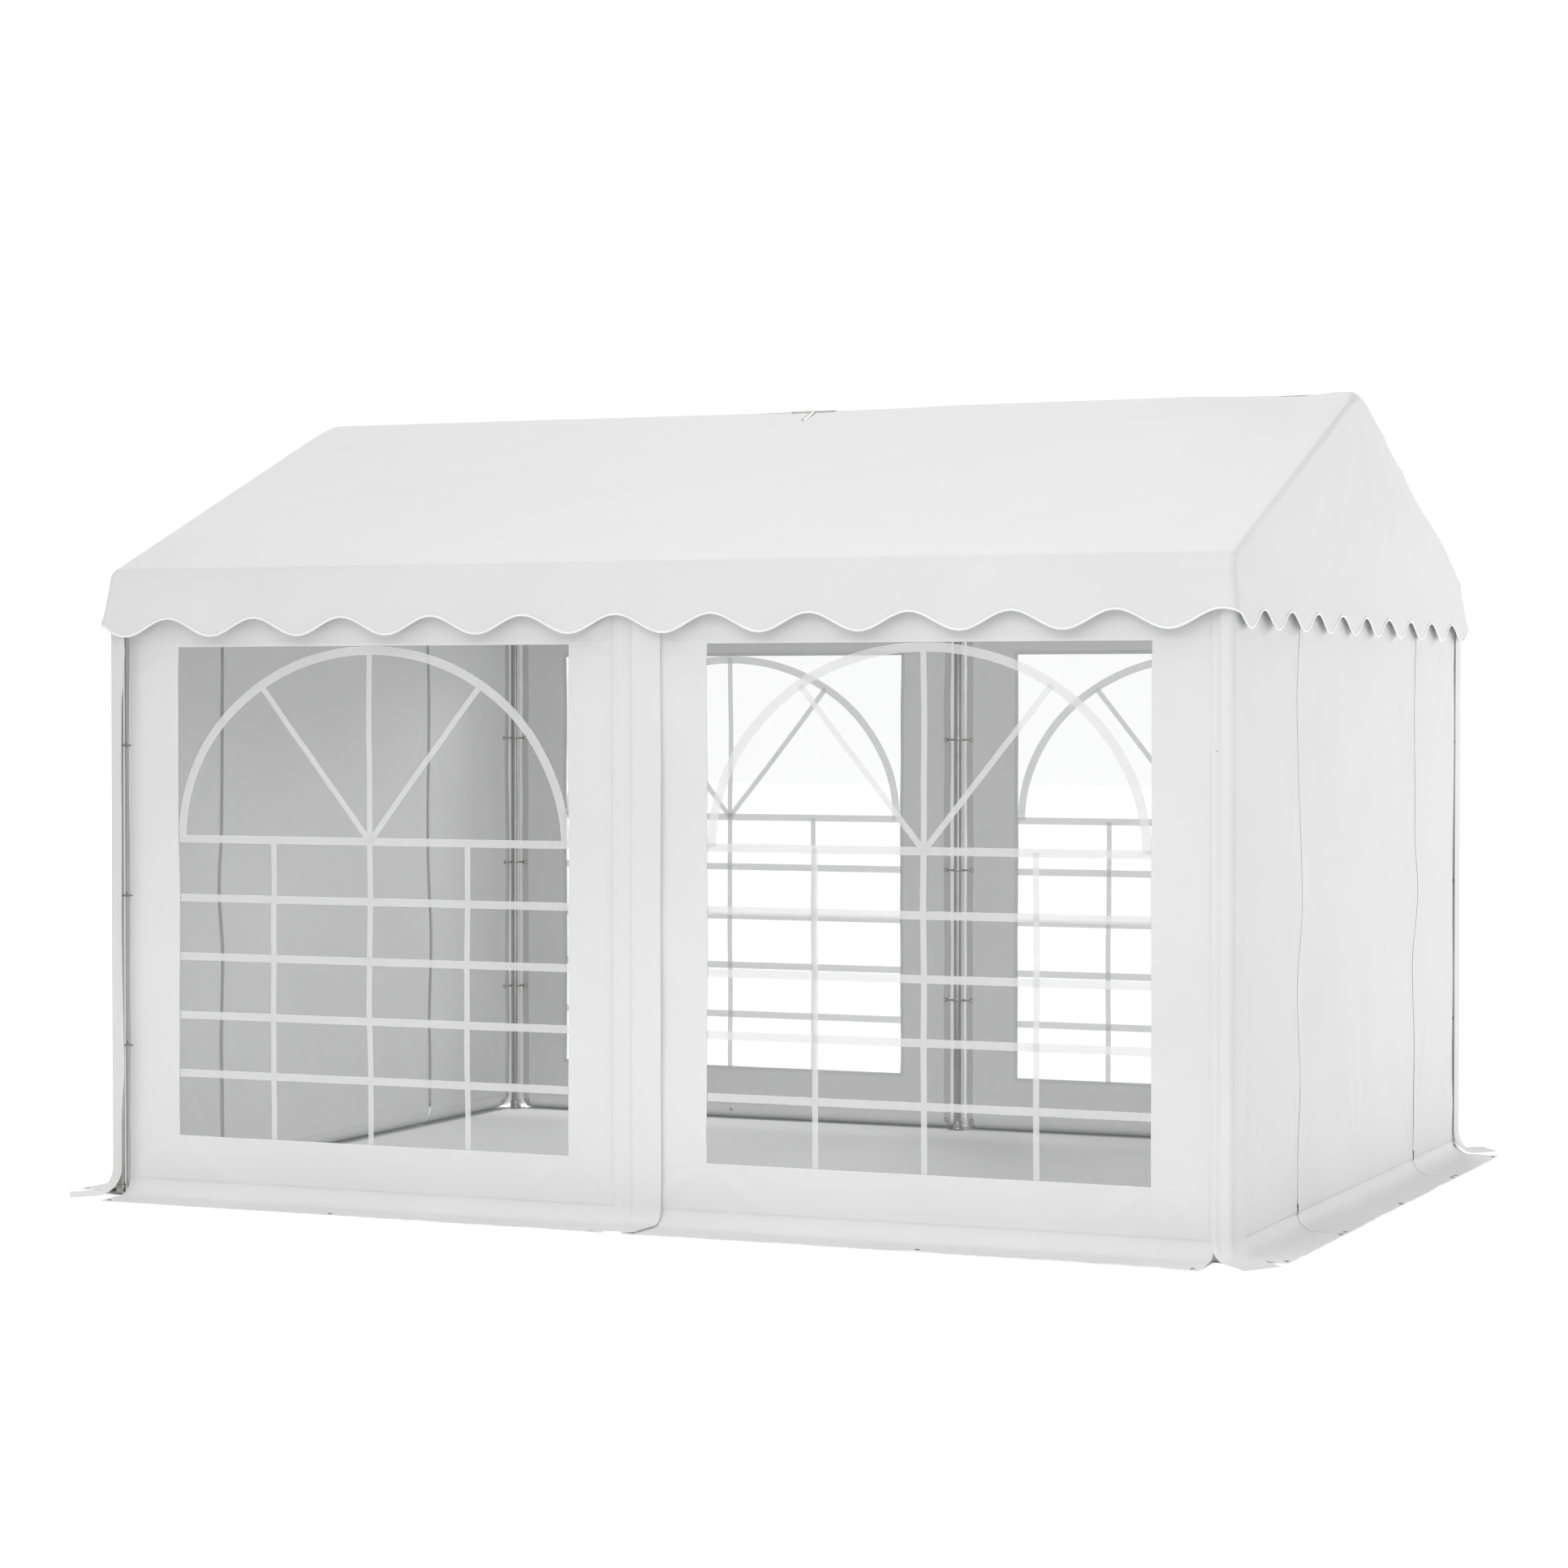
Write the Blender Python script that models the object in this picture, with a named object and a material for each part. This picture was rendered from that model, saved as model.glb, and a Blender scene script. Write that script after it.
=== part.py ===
"""Marquee tent: a steel tube frame of two bays under a gabled fabric cover with window walls.

Metres, +Z up. X runs along the ridge, -Y is the front, and the feet stand on z = 0.
"""
import math

import bpy
import bmesh
from mathutils import Matrix, Vector

# Frame, measured between tube axes
BAY = 1.97
POST_X = {"left": -BAY, "middle": 0.0, "right": BAY}
POST_Y = 1.46
SIDES = {"front": -1, "back": 1}
TUBE_R = 0.015
SLEEVE_R = 0.019
TUBE_FACETS = 12
EAVE_Z = 2.12
GABLE_BAR_Z = EAVE_Z - 0.006
PLUG_DEPTH = 0.045
SLEEVE_REACH = 0.085
SLEEVE_OVERLAP = 0.008
RAFTER_SLEEVE_SHORT = 0.002
RAFTER_SLEEVE_REACH = 0.100
RIDGE_SLEEVE_START = 0.012

# Legs, thicker than the bars and a little further out, between the edges of the walls
LEG_OUT_X = 0.020
LEG_OUT_Y = 0.017
LEG_R = 0.0175
LEG_SLEEVE_R = 0.0215
LEG_TOP = EAVE_Z - 0.025
LEG_SLEEVE_LOW = EAVE_Z - 0.070
LEG_SLEEVE_HIGH = EAVE_Z + 0.008

# Foot of a leg
PLATE_R = 0.040
PLATE_THICK = 0.003
SOCKET_FOOT = 0.012
SOCKET_TOP = 0.034
CHAMFER = 0.001

# Cloth, made thicker than the real film so that it holds as a solid
CLOTH = 0.0035
FILM = 0.001
GAP = 0.0003

# Roof line of the cover's outer face
RIDGE_Z = 2.770
ROOF_RISE = 0.408
ROOF_ANGLE = math.atan(ROOF_RISE)
EAVE_ROUND = 0.06
EAVE_SEAM_Y = 1.47
RIDGE_FLAT = 0.008
RIDGE_RING_Y = 0.06
RIDGE_TOP = RIDGE_Z - ROOF_RISE * RIDGE_FLAT
COVER_HALF_X = 2.0193
VALANCE_FLARE = 0.022
VALANCE_LEVEL_Z = 2.03
VALANCE_LEVEL_FLARE = VALANCE_FLARE * 0.55
CORNER_ROUND = 0.022
HEM_FLAT_X = COVER_HALF_X + VALANCE_FLARE - CORNER_ROUND
HEM_FLAT_Y = EAVE_SEAM_Y + EAVE_ROUND * (1 - math.sin(ROOF_ANGLE)) + VALANCE_FLARE - CORNER_ROUND
RIDGE_TUBE_Z = RIDGE_TOP - CLOTH - SLEEVE_R - GAP

# Scalloped hem of the valance
HEM_MIDDLE_Z = 1.9655
HEM_DEPTH = 0.0305
FRONT_TROUGH_X = -1.936
FRONT_CREST_X = 1.989
FRONT_WAVES = 11.5
GABLE_TROUGH_Y = -1.402
GABLE_HALF_WAVES = 4.5
LEFT_CREST_Y = -1.463
STEPS_PER_WAVE = 6

# Walls
WALL_IN_Y = POST_Y + SLEEVE_R + GAP
WALL_IN_X = 2.012
WALL_TOP = 2.13
SKIRT_ROUND = 0.0635
SKIRT_END_Y = 1.685
SKIRT_END_X = 2.180
PANEL_INNER_X = 0.035
PANEL_OUTER_X = 1.950
WINDOW_X = (0.25, 1.75)
WINDOW_Z = (0.216, 1.898)
WINDOW_SEAM = 0.015
ZIP_Y = 0.78
GABLE_END_Y = 1.450
ZIP_GAP = 0.0006
ARC_STEPS = 5

# Cover flaps, which stand out over the legs
FLAP_TOP = 2.045
LEG_BULGE = 0.015
MIDDLE_FLAP = ((-0.090, 0.0), (-0.040, 0.0), (-0.018, LEG_BULGE), (0.018, LEG_BULGE), (0.090, 0.010))
MIDDLE_FLAP_END_Y = 1.70
FLAP_SEWN = 0.076
BULGE_START = 0.059
BULGE_FULL = 0.036
WRAPPED_FREE = 0.095
WRAPPED_BEND = 0.02
STANDING_FREE = 0.083
STANDING_BEND = 0.012
TUCKED_FREE = 0.055
FLAP_DROP = 0.09
FLAP_REST_Z = 0.0042
FLAP_RUN = 0.18
FLAP_TUCK_Z = 2.00
FLAP_LOOSE_Z = 1.75
OPEN_TURN = math.radians(58)
TUCKED_TURN = math.radians(75)
BEND_STEPS = 3
LONG_TONGUE = ((2.075, 1.675), (2.185, 1.540))
GABLE_TONGUE = ((2.150, 1.565), (2.065, 1.685))


def clear_scene():
    for thing in list(bpy.data.objects):
        bpy.data.objects.remove(thing, do_unlink=True)


def material(name, colour, roughness, metallic=0.0, alpha=1.0):
    made = bpy.data.materials.new(name)
    made.use_nodes = True
    shader = made.node_tree.nodes["Principled BSDF"]
    shader.inputs["Base Color"].default_value = (*colour, 1.0)
    shader.inputs["Roughness"].default_value = roughness
    shader.inputs["Metallic"].default_value = metallic
    shader.inputs["Alpha"].default_value = alpha
    made.diffuse_color = (*colour, alpha)
    return made


def place(name, mesh, finish, smooth_angle=None):
    mesh.materials.append(finish)
    if smooth_angle is not None:
        mesh.shade_smooth()
        mesh.set_sharp_from_angle(angle=math.radians(smooth_angle))
    made = bpy.data.objects.new(name, mesh)
    bpy.context.scene.collection.objects.link(made)
    return made


def sheet(name, rows, finish, thick=CLOTH, holes=(), side=1):
    """Lay a grid of points as one sheet and thicken it along its normals."""
    mesh = bpy.data.meshes.new(name)
    width = len(rows[0])
    points = [point for row in rows for point in row]
    faces = []
    for row in range(len(rows) - 1):
        for column in range(width - 1):
            if (row, column) in holes:
                continue
            first = row * width + column
            face = (first, first + 1, first + 1 + width, first + width)
            faces.append(face)
    mesh.from_pydata(points, [], faces)
    mesh.update()
    made = place(name, mesh, finish)
    solid = made.modifiers.new("thickness", "SOLIDIFY")
    solid.thickness = thick
    solid.offset = side
    solid.use_even_offset = True
    return made


def rod_mesh(name, start, end, radius, facets=TUBE_FACETS):
    start = Vector(start)
    run = Vector(end) - start
    mesh = bpy.data.meshes.new(name)
    shape = bmesh.new()
    turn = run.to_track_quat("Z", "Y").to_matrix().to_4x4()
    seat = Matrix.Translation(start + run / 2) @ turn
    bmesh.ops.create_cone(
        shape, cap_ends=True, segments=facets, radius1=radius, radius2=radius, depth=run.length, matrix=seat
    )
    shape.to_mesh(mesh)
    shape.free()
    return mesh


def rod(name, start, end, finish):
    return place(name, rod_mesh(name, start, end, TUBE_R), finish, 40)


def fitting(name, sleeves, bores, finish):
    """Weld sleeves that start near one point, and bore each mouth blind for its tube."""
    first, *others = [rod_mesh(name, start, mouth, radius) for start, mouth, radius in sleeves]
    made = place(name, first, finish)
    for number, other in enumerate(others):
        cut(made, other, "UNION", f"{name}_arm_{number}")
    for number, (plug, mouth, radius) in enumerate(bores):
        past = Vector(mouth) + (Vector(mouth) - Vector(plug)).normalized() * GAP
        cut(made, rod_mesh(name, plug, past, radius + GAP), "DIFFERENCE", f"{name}_bore_{number}")
    return made


def cut(target, tool_mesh, operation, name):
    tool = bpy.data.objects.new(name, tool_mesh)
    bpy.context.scene.collection.objects.link(tool)
    tool.hide_render = True
    tool.display_type = "WIRE"
    step = target.modifiers.new(name, "BOOLEAN")
    step.operation = operation
    step.solver = "EXACT"
    step.object = tool


def leg_place(x, side):
    """A leg's axis, outside the axes of the bars that meet at x."""
    out = math.copysign(LEG_OUT_X, x) if x else 0.0
    return x + out, side * (POST_Y + LEG_OUT_Y)


def leg(name, x, side, finish):
    """Turn a tube with its plug-in foot plate."""
    outline = [
        (PLATE_R, 0.0),
        (PLATE_R, PLATE_THICK),
        (LEG_SLEEVE_R + CHAMFER, PLATE_THICK + CHAMFER),
        (LEG_SLEEVE_R, SOCKET_FOOT),
        (LEG_SLEEVE_R, SOCKET_TOP),
        (LEG_R, SOCKET_TOP + CHAMFER),
        (LEG_R, LEG_TOP),
    ]
    mesh = bpy.data.meshes.new(name)
    shape = bmesh.new()
    rings = []
    for radius, height in outline:
        ring = []
        for step in range(TUBE_FACETS):
            angle = math.tau * step / TUBE_FACETS
            ring.append(shape.verts.new((radius * math.cos(angle), radius * math.sin(angle), height)))
        rings.append(ring)
    for lower, upper in zip(rings, rings[1:]):
        for step in range(TUBE_FACETS):
            after = (step + 1) % TUBE_FACETS
            shape.faces.new((lower[step], lower[after], upper[after], upper[step]))
    shape.faces.new(reversed(rings[0]))
    shape.faces.new(rings[-1])
    shape.to_mesh(mesh)
    shape.free()
    made = place(name, mesh, finish, 40)
    made.location = (*leg_place(x, side), 0.0)
    return made


def rafter_point(x, side, distance):
    """A point on a rafter's axis, at a distance from the ridge measured level."""
    drop = CLOTH + SLEEVE_R + GAP
    top = RIDGE_Z - drop / math.cos(ROOF_ANGLE)
    return (x, side * distance, top - ROOF_RISE * distance)


def bar_sleeves(x, y, z):
    """The sleeve along the tent at a connector, through at the middle one, and its bores."""
    mouths = [-math.copysign(SLEEVE_REACH, x)] if x else [-SLEEVE_REACH, SLEEVE_REACH]
    start = x + math.copysign(SLEEVE_OVERLAP, x) if x else mouths[1]
    sleeve = ((start, y, z), (x + mouths[0], y, z), SLEEVE_R)
    bores = []
    for mouth in mouths:
        plug = math.copysign(PLUG_DEPTH, mouth)
        bores.append(((x + plug, y, z), (x + mouth, y, z), TUBE_R))
    return sleeve, bores


def eave_fitting(name, x, side, finish):
    y = side * POST_Y
    leg_axis = leg_place(x, side)
    bar, bores = bar_sleeves(x, y, EAVE_Z)
    leg_mouth = (*leg_axis, LEG_SLEEVE_LOW)
    rafter_mouth = rafter_point(x, side, POST_Y - RAFTER_SLEEVE_REACH)
    sleeves = [
        ((*leg_axis, LEG_SLEEVE_HIGH), leg_mouth, LEG_SLEEVE_R),
        bar,
        (rafter_point(x, side, POST_Y - RAFTER_SLEEVE_SHORT), rafter_mouth, SLEEVE_R),
    ]
    bores.append(((*leg_axis, LEG_TOP + GAP), leg_mouth, LEG_R))
    bores.append((rafter_point(x, side, POST_Y - PLUG_DEPTH), rafter_mouth, TUBE_R))
    if x:
        mouth = (x, y - side * SLEEVE_REACH, GABLE_BAR_Z)
        sleeves.append(((x, y, GABLE_BAR_Z), mouth, SLEEVE_R))
        bores.append(((x, y - side * PLUG_DEPTH, GABLE_BAR_Z), mouth, TUBE_R))
    return fitting(name, sleeves, bores, finish)


def ridge_fitting(name, x, finish):
    bar, bores = bar_sleeves(x, 0.0, RIDGE_TUBE_Z)
    sleeves = [bar]
    for side in SIDES.values():
        mouth = rafter_point(x, side, RAFTER_SLEEVE_REACH)
        sleeves.append((rafter_point(x, side, RIDGE_SLEEVE_START), mouth, SLEEVE_R))
        bores.append((rafter_point(x, side, PLUG_DEPTH), mouth, TUBE_R))
    return fitting(name, sleeves, bores, finish)


def build_frame(steel, joint_steel):
    for side_name, side in SIDES.items():
        y = side * POST_Y
        for place_name, x in POST_X.items():
            leg(f"leg_{side_name}_{place_name}", x, side, steel)
            eave_fitting(f"eave_connector_{side_name}_{place_name}", x, side, joint_steel)
            top = rafter_point(x, side, PLUG_DEPTH + GAP)
            low = rafter_point(x, side, POST_Y - PLUG_DEPTH - GAP)
            rod(f"rafter_{side_name}_{place_name}", low, top, steel)
        for bay_name, way in (("left", -1), ("right", 1)):
            near = (way * (PLUG_DEPTH + GAP), y, EAVE_Z)
            far = (way * (BAY - PLUG_DEPTH - GAP), y, EAVE_Z)
            rod(f"eave_bar_{side_name}_{bay_name}", near, far, steel)
    for place_name, x in POST_X.items():
        ridge_fitting(f"ridge_connector_{place_name}", x, joint_steel)
    for bay_name, way in (("left", -1), ("right", 1)):
        near = (way * (PLUG_DEPTH + GAP), 0.0, RIDGE_TUBE_Z)
        far = (way * (BAY - PLUG_DEPTH - GAP), 0.0, RIDGE_TUBE_Z)
        rod(f"ridge_bar_{bay_name}", near, far, steel)
        reach = POST_Y - PLUG_DEPTH - GAP
        ends = [(way * BAY, y, GABLE_BAR_Z) for y in (-reach, reach)]
        rod(f"gable_bar_{bay_name}", *ends, steel)


def hem_columns():
    """Columns of the cover's front half, from the left gable's middle to the right one's.

    Each is a kind, a place along its stretch and the phase of the scalloped hem there.
    """
    gable_steps = round(GABLE_HALF_WAVES * STEPS_PER_WAVE)
    front_steps = round(FRONT_WAVES * STEPS_PER_WAVE)
    phase = 0.5
    columns = []
    for step in range(gable_steps + 1):
        columns.append(("left", LEFT_CREST_Y * step / gable_steps, phase + step / STEPS_PER_WAVE))
    phase += GABLE_HALF_WAVES
    columns += corner_columns("left_corner", phase)
    phase += 0.5
    for step in range(front_steps + 1):
        x = FRONT_TROUGH_X + (FRONT_CREST_X - FRONT_TROUGH_X) * step / front_steps
        columns.append(("front", x, phase + step / STEPS_PER_WAVE))
    phase += FRONT_WAVES
    columns += corner_columns("right_corner", phase)
    phase += 0.5
    for step in range(gable_steps + 1):
        y = GABLE_TROUGH_Y * (1 - step / gable_steps)
        columns.append(("right", y, phase + step / STEPS_PER_WAVE))
    return columns


def corner_columns(kind, start_phase):
    turns = 4
    columns = []
    for step in range(turns + 1):
        phase = start_phase + 0.5 * (step + 1) / (turns + 2)
        columns.append((kind, math.pi / 2 * step / turns, phase))
    return columns


def ring_point(column, half_x, half_y, height):
    """A point of one column on a level ring of the cover, or on the wavy hem for no height."""
    kind, place_along, phase = column
    bend = min(CORNER_ROUND, half_y)
    flat_x = half_x - bend
    flat_y = half_y - bend
    z = height
    if height is None:
        z = HEM_MIDDLE_Z + HEM_DEPTH * math.cos(math.tau * phase)
    if kind == "front":
        return (place_along / HEM_FLAT_X * flat_x, -half_y, z)
    if kind in ("left", "right"):
        way = -1 if kind == "left" else 1
        return (way * half_x, place_along / HEM_FLAT_Y * flat_y, z)
    along = bend * math.sin(place_along)
    across = bend * math.cos(place_along)
    if kind == "left_corner":
        return (-flat_x - across, -flat_y - along, z)
    return (flat_x + along, -flat_y - across, z)


def cover_rings(inset):
    """Half length, half width and height of each level ring, hem first and ridge last."""
    start_y = EAVE_SEAM_Y - EAVE_ROUND * math.sin(ROOF_ANGLE)
    start_z = RIDGE_Z - ROOF_RISE * EAVE_SEAM_Y - EAVE_ROUND * math.cos(ROOF_ANGLE)
    wide = start_y + EAVE_ROUND - inset
    long = COVER_HALF_X - inset
    rings = [
        (long + VALANCE_FLARE, wide + VALANCE_FLARE, None),
        (long + VALANCE_LEVEL_FLARE, wide + VALANCE_LEVEL_FLARE, VALANCE_LEVEL_Z),
        (long, wide, start_z),
    ]
    bend = EAVE_ROUND - inset
    for share in (0.5, 0.0):
        angle = ROOF_ANGLE + (math.pi / 2 - ROOF_ANGLE) * share
        rings.append((long, start_y + bend * math.sin(angle), start_z + bend * math.cos(angle)))
    for y in (RIDGE_RING_Y, RIDGE_FLAT):
        height = RIDGE_Z - ROOF_RISE * y - inset * math.cos(ROOF_ANGLE)
        rings.append((long, y - inset * math.sin(ROOF_ANGLE), height))
    return rings


def roof_cover(finish):
    """Loft the cover's outer and inner faces and join them along the scalloped hem."""
    columns = hem_columns()
    half = len(columns)
    around = 2 * half - 2
    mesh = bpy.data.meshes.new("roof_cover")
    shape = bmesh.new()
    layers = []
    for inset in (0.0, CLOTH):
        layer = []
        for half_x, half_y, height in cover_rings(inset):
            ring = [ring_point(column, half_x, half_y, height) for column in columns]
            mirrored = [(x, -y, z) for x, y, z in reversed(ring[1:-1])]
            layer.append([shape.verts.new(point) for point in ring + mirrored])
        layers.append(layer)
    outer, inner = layers
    for lower, upper in zip(outer, outer[1:]):
        for step in range(around):
            after = (step + 1) % around
            shape.faces.new((lower[step], lower[after], upper[after], upper[step]))
    for lower, upper in zip(inner, inner[1:]):
        for step in range(around):
            after = (step + 1) % around
            shape.faces.new((upper[step], upper[after], lower[after], lower[step]))
    for step in range(around):
        after = (step + 1) % around
        shape.faces.new((outer[0][after], outer[0][step], inner[0][step], inner[0][after]))
    for top, flip in ((outer[-1], False), (inner[-1], True)):
        for step in range(half - 1):
            corners = [top[step], top[step + 1]]
            corners += [top[(around - index) % around] for index in (step + 1, step)]
            unique = list(dict.fromkeys(corners))
            shape.faces.new(reversed(unique) if flip else unique)
    shape.to_mesh(mesh)
    shape.free()
    return place("roof_cover", mesh, finish, 35)


def hanging_profile(wall, skirt_end, bend, rest, top):
    """Distance out and height down a wall that turns out onto the ground."""
    points = [(wall, top)]
    centre = wall + bend
    for step in range(ARC_STEPS + 1):
        angle = math.pi / 2 * step / ARC_STEPS
        points.append((centre - bend * math.cos(angle), rest + bend * (1 - math.sin(angle))))
    points.append((skirt_end, rest))
    return points


def window_wall(name, side, way, finish):
    """One bay's wall: a sheet with a square window opening and a ground skirt."""
    profile = hanging_profile(WALL_IN_Y, SKIRT_END_Y, SKIRT_ROUND, 0.0, WALL_TOP)
    heights = [profile[0], (WALL_IN_Y, WINDOW_Z[1]), (WALL_IN_Y, WINDOW_Z[0])] + profile[1:]
    edges = (PANEL_INNER_X, WINDOW_X[0], WINDOW_X[1], PANEL_OUTER_X)
    rows = [[(way * x, side * out, z) for x in edges] for out, z in heights]
    return sheet(name, rows, finish, holes=((1, 1),), side=side * way)


def window_film(name, side, way, finish):
    y = side * (WALL_IN_Y - GAP)
    edges = (WINDOW_X[0] - WINDOW_SEAM, WINDOW_X[1] + WINDOW_SEAM)
    heights = (WINDOW_Z[1] + WINDOW_SEAM, WINDOW_Z[0] - WINDOW_SEAM)
    rows = [[(way * x, y, z) for x in edges] for z in heights]
    return sheet(name, rows, finish, thick=FILM, side=-side * way)


def gable_panel(name, way, low_y, high_y, finish):
    profile = hanging_profile(WALL_IN_X, SKIRT_END_X, SKIRT_ROUND, 0.0, WALL_TOP + 0.01)
    rows = [[(way * out, y, z) for y in (low_y, high_y)] for out, z in profile]
    return sheet(name, rows, finish, side=-way)


def middle_flap(name, side, finish):
    """A flap sewn at one edge, over the middle leg; it lies flat again at its end on the ground."""
    wall = WALL_IN_Y + CLOTH + GAP
    profile = hanging_profile(wall, MIDDLE_FLAP_END_Y, SKIRT_ROUND - CLOTH - GAP, CLOTH + GAP, FLAP_TOP)
    rows = []
    for number, (out, z) in enumerate(profile):
        share = 1.0 if number < len(profile) - 1 else 0.0
        rows.append([(-side * u, side * (out + bulge * share), z) for u, bulge in MIDDLE_FLAP])
    return sheet(name, rows, finish, side=-1)


def bent_end(start_u, start_w, bend, turn, free):
    """The last part of a flap's plan: round a bend, then its free part."""
    points = []
    for step in range(BEND_STEPS + 1):
        angle = turn * step / BEND_STEPS
        points.append((start_u + bend * math.sin(angle), start_w + bend * (math.cos(angle) - 1)))
    end_u, end_w = points[-1]
    for share in (0.5, 1.0):
        reach = free * share
        points.append((end_u + reach * math.cos(turn), end_w - reach * math.sin(turn)))
    return points


def wrapped_plan(corner_u):
    """Plan of a flap that lies on its own wall, over the leg and then along the other wall."""
    points = [(corner_u - FLAP_SEWN, 0.0), (corner_u - BULGE_START, 0.0), (corner_u - BULGE_FULL, LEG_BULGE)]
    return points + bent_end(corner_u - WRAPPED_BEND, LEG_BULGE, WRAPPED_BEND, math.pi / 2, WRAPPED_FREE)


def standing_plan(corner_u, turn, free):
    """Plan of a flap that stands off from the corner."""
    points = [(corner_u - FLAP_SEWN, 0.0), (corner_u - FLAP_SEWN / 2, 0.0)]
    return points + bent_end(corner_u, 0.0, STANDING_BEND, turn, free)


def corner_flap(name, tucked, loose, end_line, finish):
    """Loft a flap from its tucked top through its loose plan down to a flat tongue on the ground."""
    count = len(loose) - 1
    start, end = (Vector(point) for point in end_line)
    tongue = [start.lerp(end, step / count) for step in range(count + 1)]
    rows = [[(*point, z) for point in tucked] for z in (FLAP_TOP, FLAP_TUCK_Z)]
    rows.append([(*point, FLAP_LOOSE_Z) for point in loose])
    path = [(0.0, FLAP_REST_Z + FLAP_DROP)]
    for step in range(1, ARC_STEPS + 1):
        angle = math.pi / 2 * step / ARC_STEPS
        run = FLAP_DROP * (1 - math.cos(angle)) / FLAP_RUN
        path.append((run, FLAP_REST_Z + FLAP_DROP * (1 - math.sin(angle))))
    path.append((1.0, FLAP_REST_Z))
    for run, z in path:
        rows.append([(*Vector(top).lerp(low, run), z) for top, low in zip(loose, tongue)])
    return sheet(name, rows, finish, side=-1)


def build_corner_flaps(finish):
    """Two flaps sewn to long walls wrap the corner, and two sewn to gables stand a little open."""
    long_wall = WALL_IN_Y + CLOTH + GAP
    gable_wall = WALL_IN_X + CLOTH + GAP
    on_long = wrapped_plan(gable_wall)
    on_gable = [
        standing_plan(long_wall, TUCKED_TURN, TUCKED_FREE),
        standing_plan(long_wall, OPEN_TURN, STANDING_FREE),
    ]
    for name, turn in (("front_right", -1), ("back_left", 1)):
        plan = [(-turn * u, turn * (long_wall + w)) for u, w in on_long]
        line = [(-turn * x, turn * y) for x, y in LONG_TONGUE]
        corner_flap(f"corner_flap_{name}", plan, plan, line, finish)
    for name, turn in (("front_left", -1), ("back_right", 1)):
        plans = [[(turn * (gable_wall + w), turn * u) for u, w in plan] for plan in on_gable]
        line = [(turn * x, turn * y) for x, y in GABLE_TONGUE]
        corner_flap(f"corner_flap_{name}", *plans, line, finish)


def build_walls(cloth, film):
    for side_name, side in SIDES.items():
        for bay_name, way in (("left", -1), ("right", 1)):
            window_wall(f"wall_{side_name}_{bay_name}", side, way, cloth)
            window_film(f"window_{side_name}_{bay_name}", side, way, film)
        middle_flap(f"middle_flap_{side_name}", side, cloth)
    for gable_name, way in (("left", -1), ("right", 1)):
        gable_panel(f"gable_{gable_name}_front_panel", way, -GABLE_END_Y, -ZIP_Y - ZIP_GAP, cloth)
        gable_panel(f"gable_{gable_name}_door_panel", way, -ZIP_Y, ZIP_Y, cloth)
        gable_panel(f"gable_{gable_name}_back_panel", way, ZIP_Y + ZIP_GAP, GABLE_END_Y, cloth)
    build_corner_flaps(cloth)


def main():
    clear_scene()
    steel = material("galvanised_tube", (0.56, 0.57, 0.58), 0.35, metallic=1.0)
    joint_steel = material("connector_steel", (0.50, 0.51, 0.52), 0.45, metallic=1.0)
    cloth = material("white_cover_cloth", (0.86, 0.86, 0.86), 0.5)
    film = material("clear_window_film", (0.92, 0.93, 0.93), 0.1, alpha=0.35)
    build_frame(steel, joint_steel)
    roof_cover(cloth)
    build_walls(cloth, film)


main()
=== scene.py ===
"""Marquee tent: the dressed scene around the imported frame.

Metres, +Z up, in the row frame. X runs along the ridge, -Y is the front, and the floor is z = 0.
The cloth is made in code as dense curved sheets, in the space that the CAD solids hold.
"""
import math
import random

import bmesh
import bpy
import numpy as np
from mathutils import Euler, Matrix, Vector


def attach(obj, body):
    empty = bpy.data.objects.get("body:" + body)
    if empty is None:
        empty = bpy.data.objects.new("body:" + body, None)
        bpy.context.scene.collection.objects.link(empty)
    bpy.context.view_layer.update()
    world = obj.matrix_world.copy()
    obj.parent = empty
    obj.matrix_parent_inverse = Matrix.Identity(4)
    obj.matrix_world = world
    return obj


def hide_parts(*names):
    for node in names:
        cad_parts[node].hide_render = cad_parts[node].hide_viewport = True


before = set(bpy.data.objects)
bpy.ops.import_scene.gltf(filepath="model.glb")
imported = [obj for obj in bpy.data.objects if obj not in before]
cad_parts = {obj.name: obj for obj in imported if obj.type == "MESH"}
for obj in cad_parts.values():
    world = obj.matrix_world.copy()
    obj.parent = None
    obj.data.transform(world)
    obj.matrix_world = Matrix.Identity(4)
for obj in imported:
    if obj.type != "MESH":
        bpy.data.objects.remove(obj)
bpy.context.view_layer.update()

SIDES = {"front": -1, "back": 1}
WAYS = {"left": -1, "right": 1}

# Cloth as it really is, thinner than the solids
CLOTH = 0.0015
FILM = 0.0006
HOLD = 0.0015

# Roof cover
RIDGE_Z = 2.770
ROOF_RISE = 0.408
ROOF_ANGLE = math.atan(ROOF_RISE)
RIDGE_SOFT = 0.008
EAVE_ROUND = 0.06
EAVE_SEAM_Y = 1.47
EAVE_Y = EAVE_SEAM_Y - EAVE_ROUND * math.sin(ROOF_ANGLE)
EAVE_Z = RIDGE_Z - ROOF_RISE * EAVE_SEAM_Y - EAVE_ROUND * math.cos(ROOF_ANGLE)
COVER_X = 2.0193
COVER_Y = EAVE_Y + EAVE_ROUND
CORNER = 0.022
RIDGE_END_ROUND = 0.045
RIDGE_DIP = (
    (-2.02, 0.0020), (-1.85, 0.0025), (-1.20, 0.0040), (-0.70, 0.0060), (0.00, 0.0090), (0.30, 0.0060),
    (0.62, 0.0015), (1.40, 0.0005), (1.66, 0.0060), (1.80, 0.0105), (1.95, 0.0010), (2.02, 0.0010),
)
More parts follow.
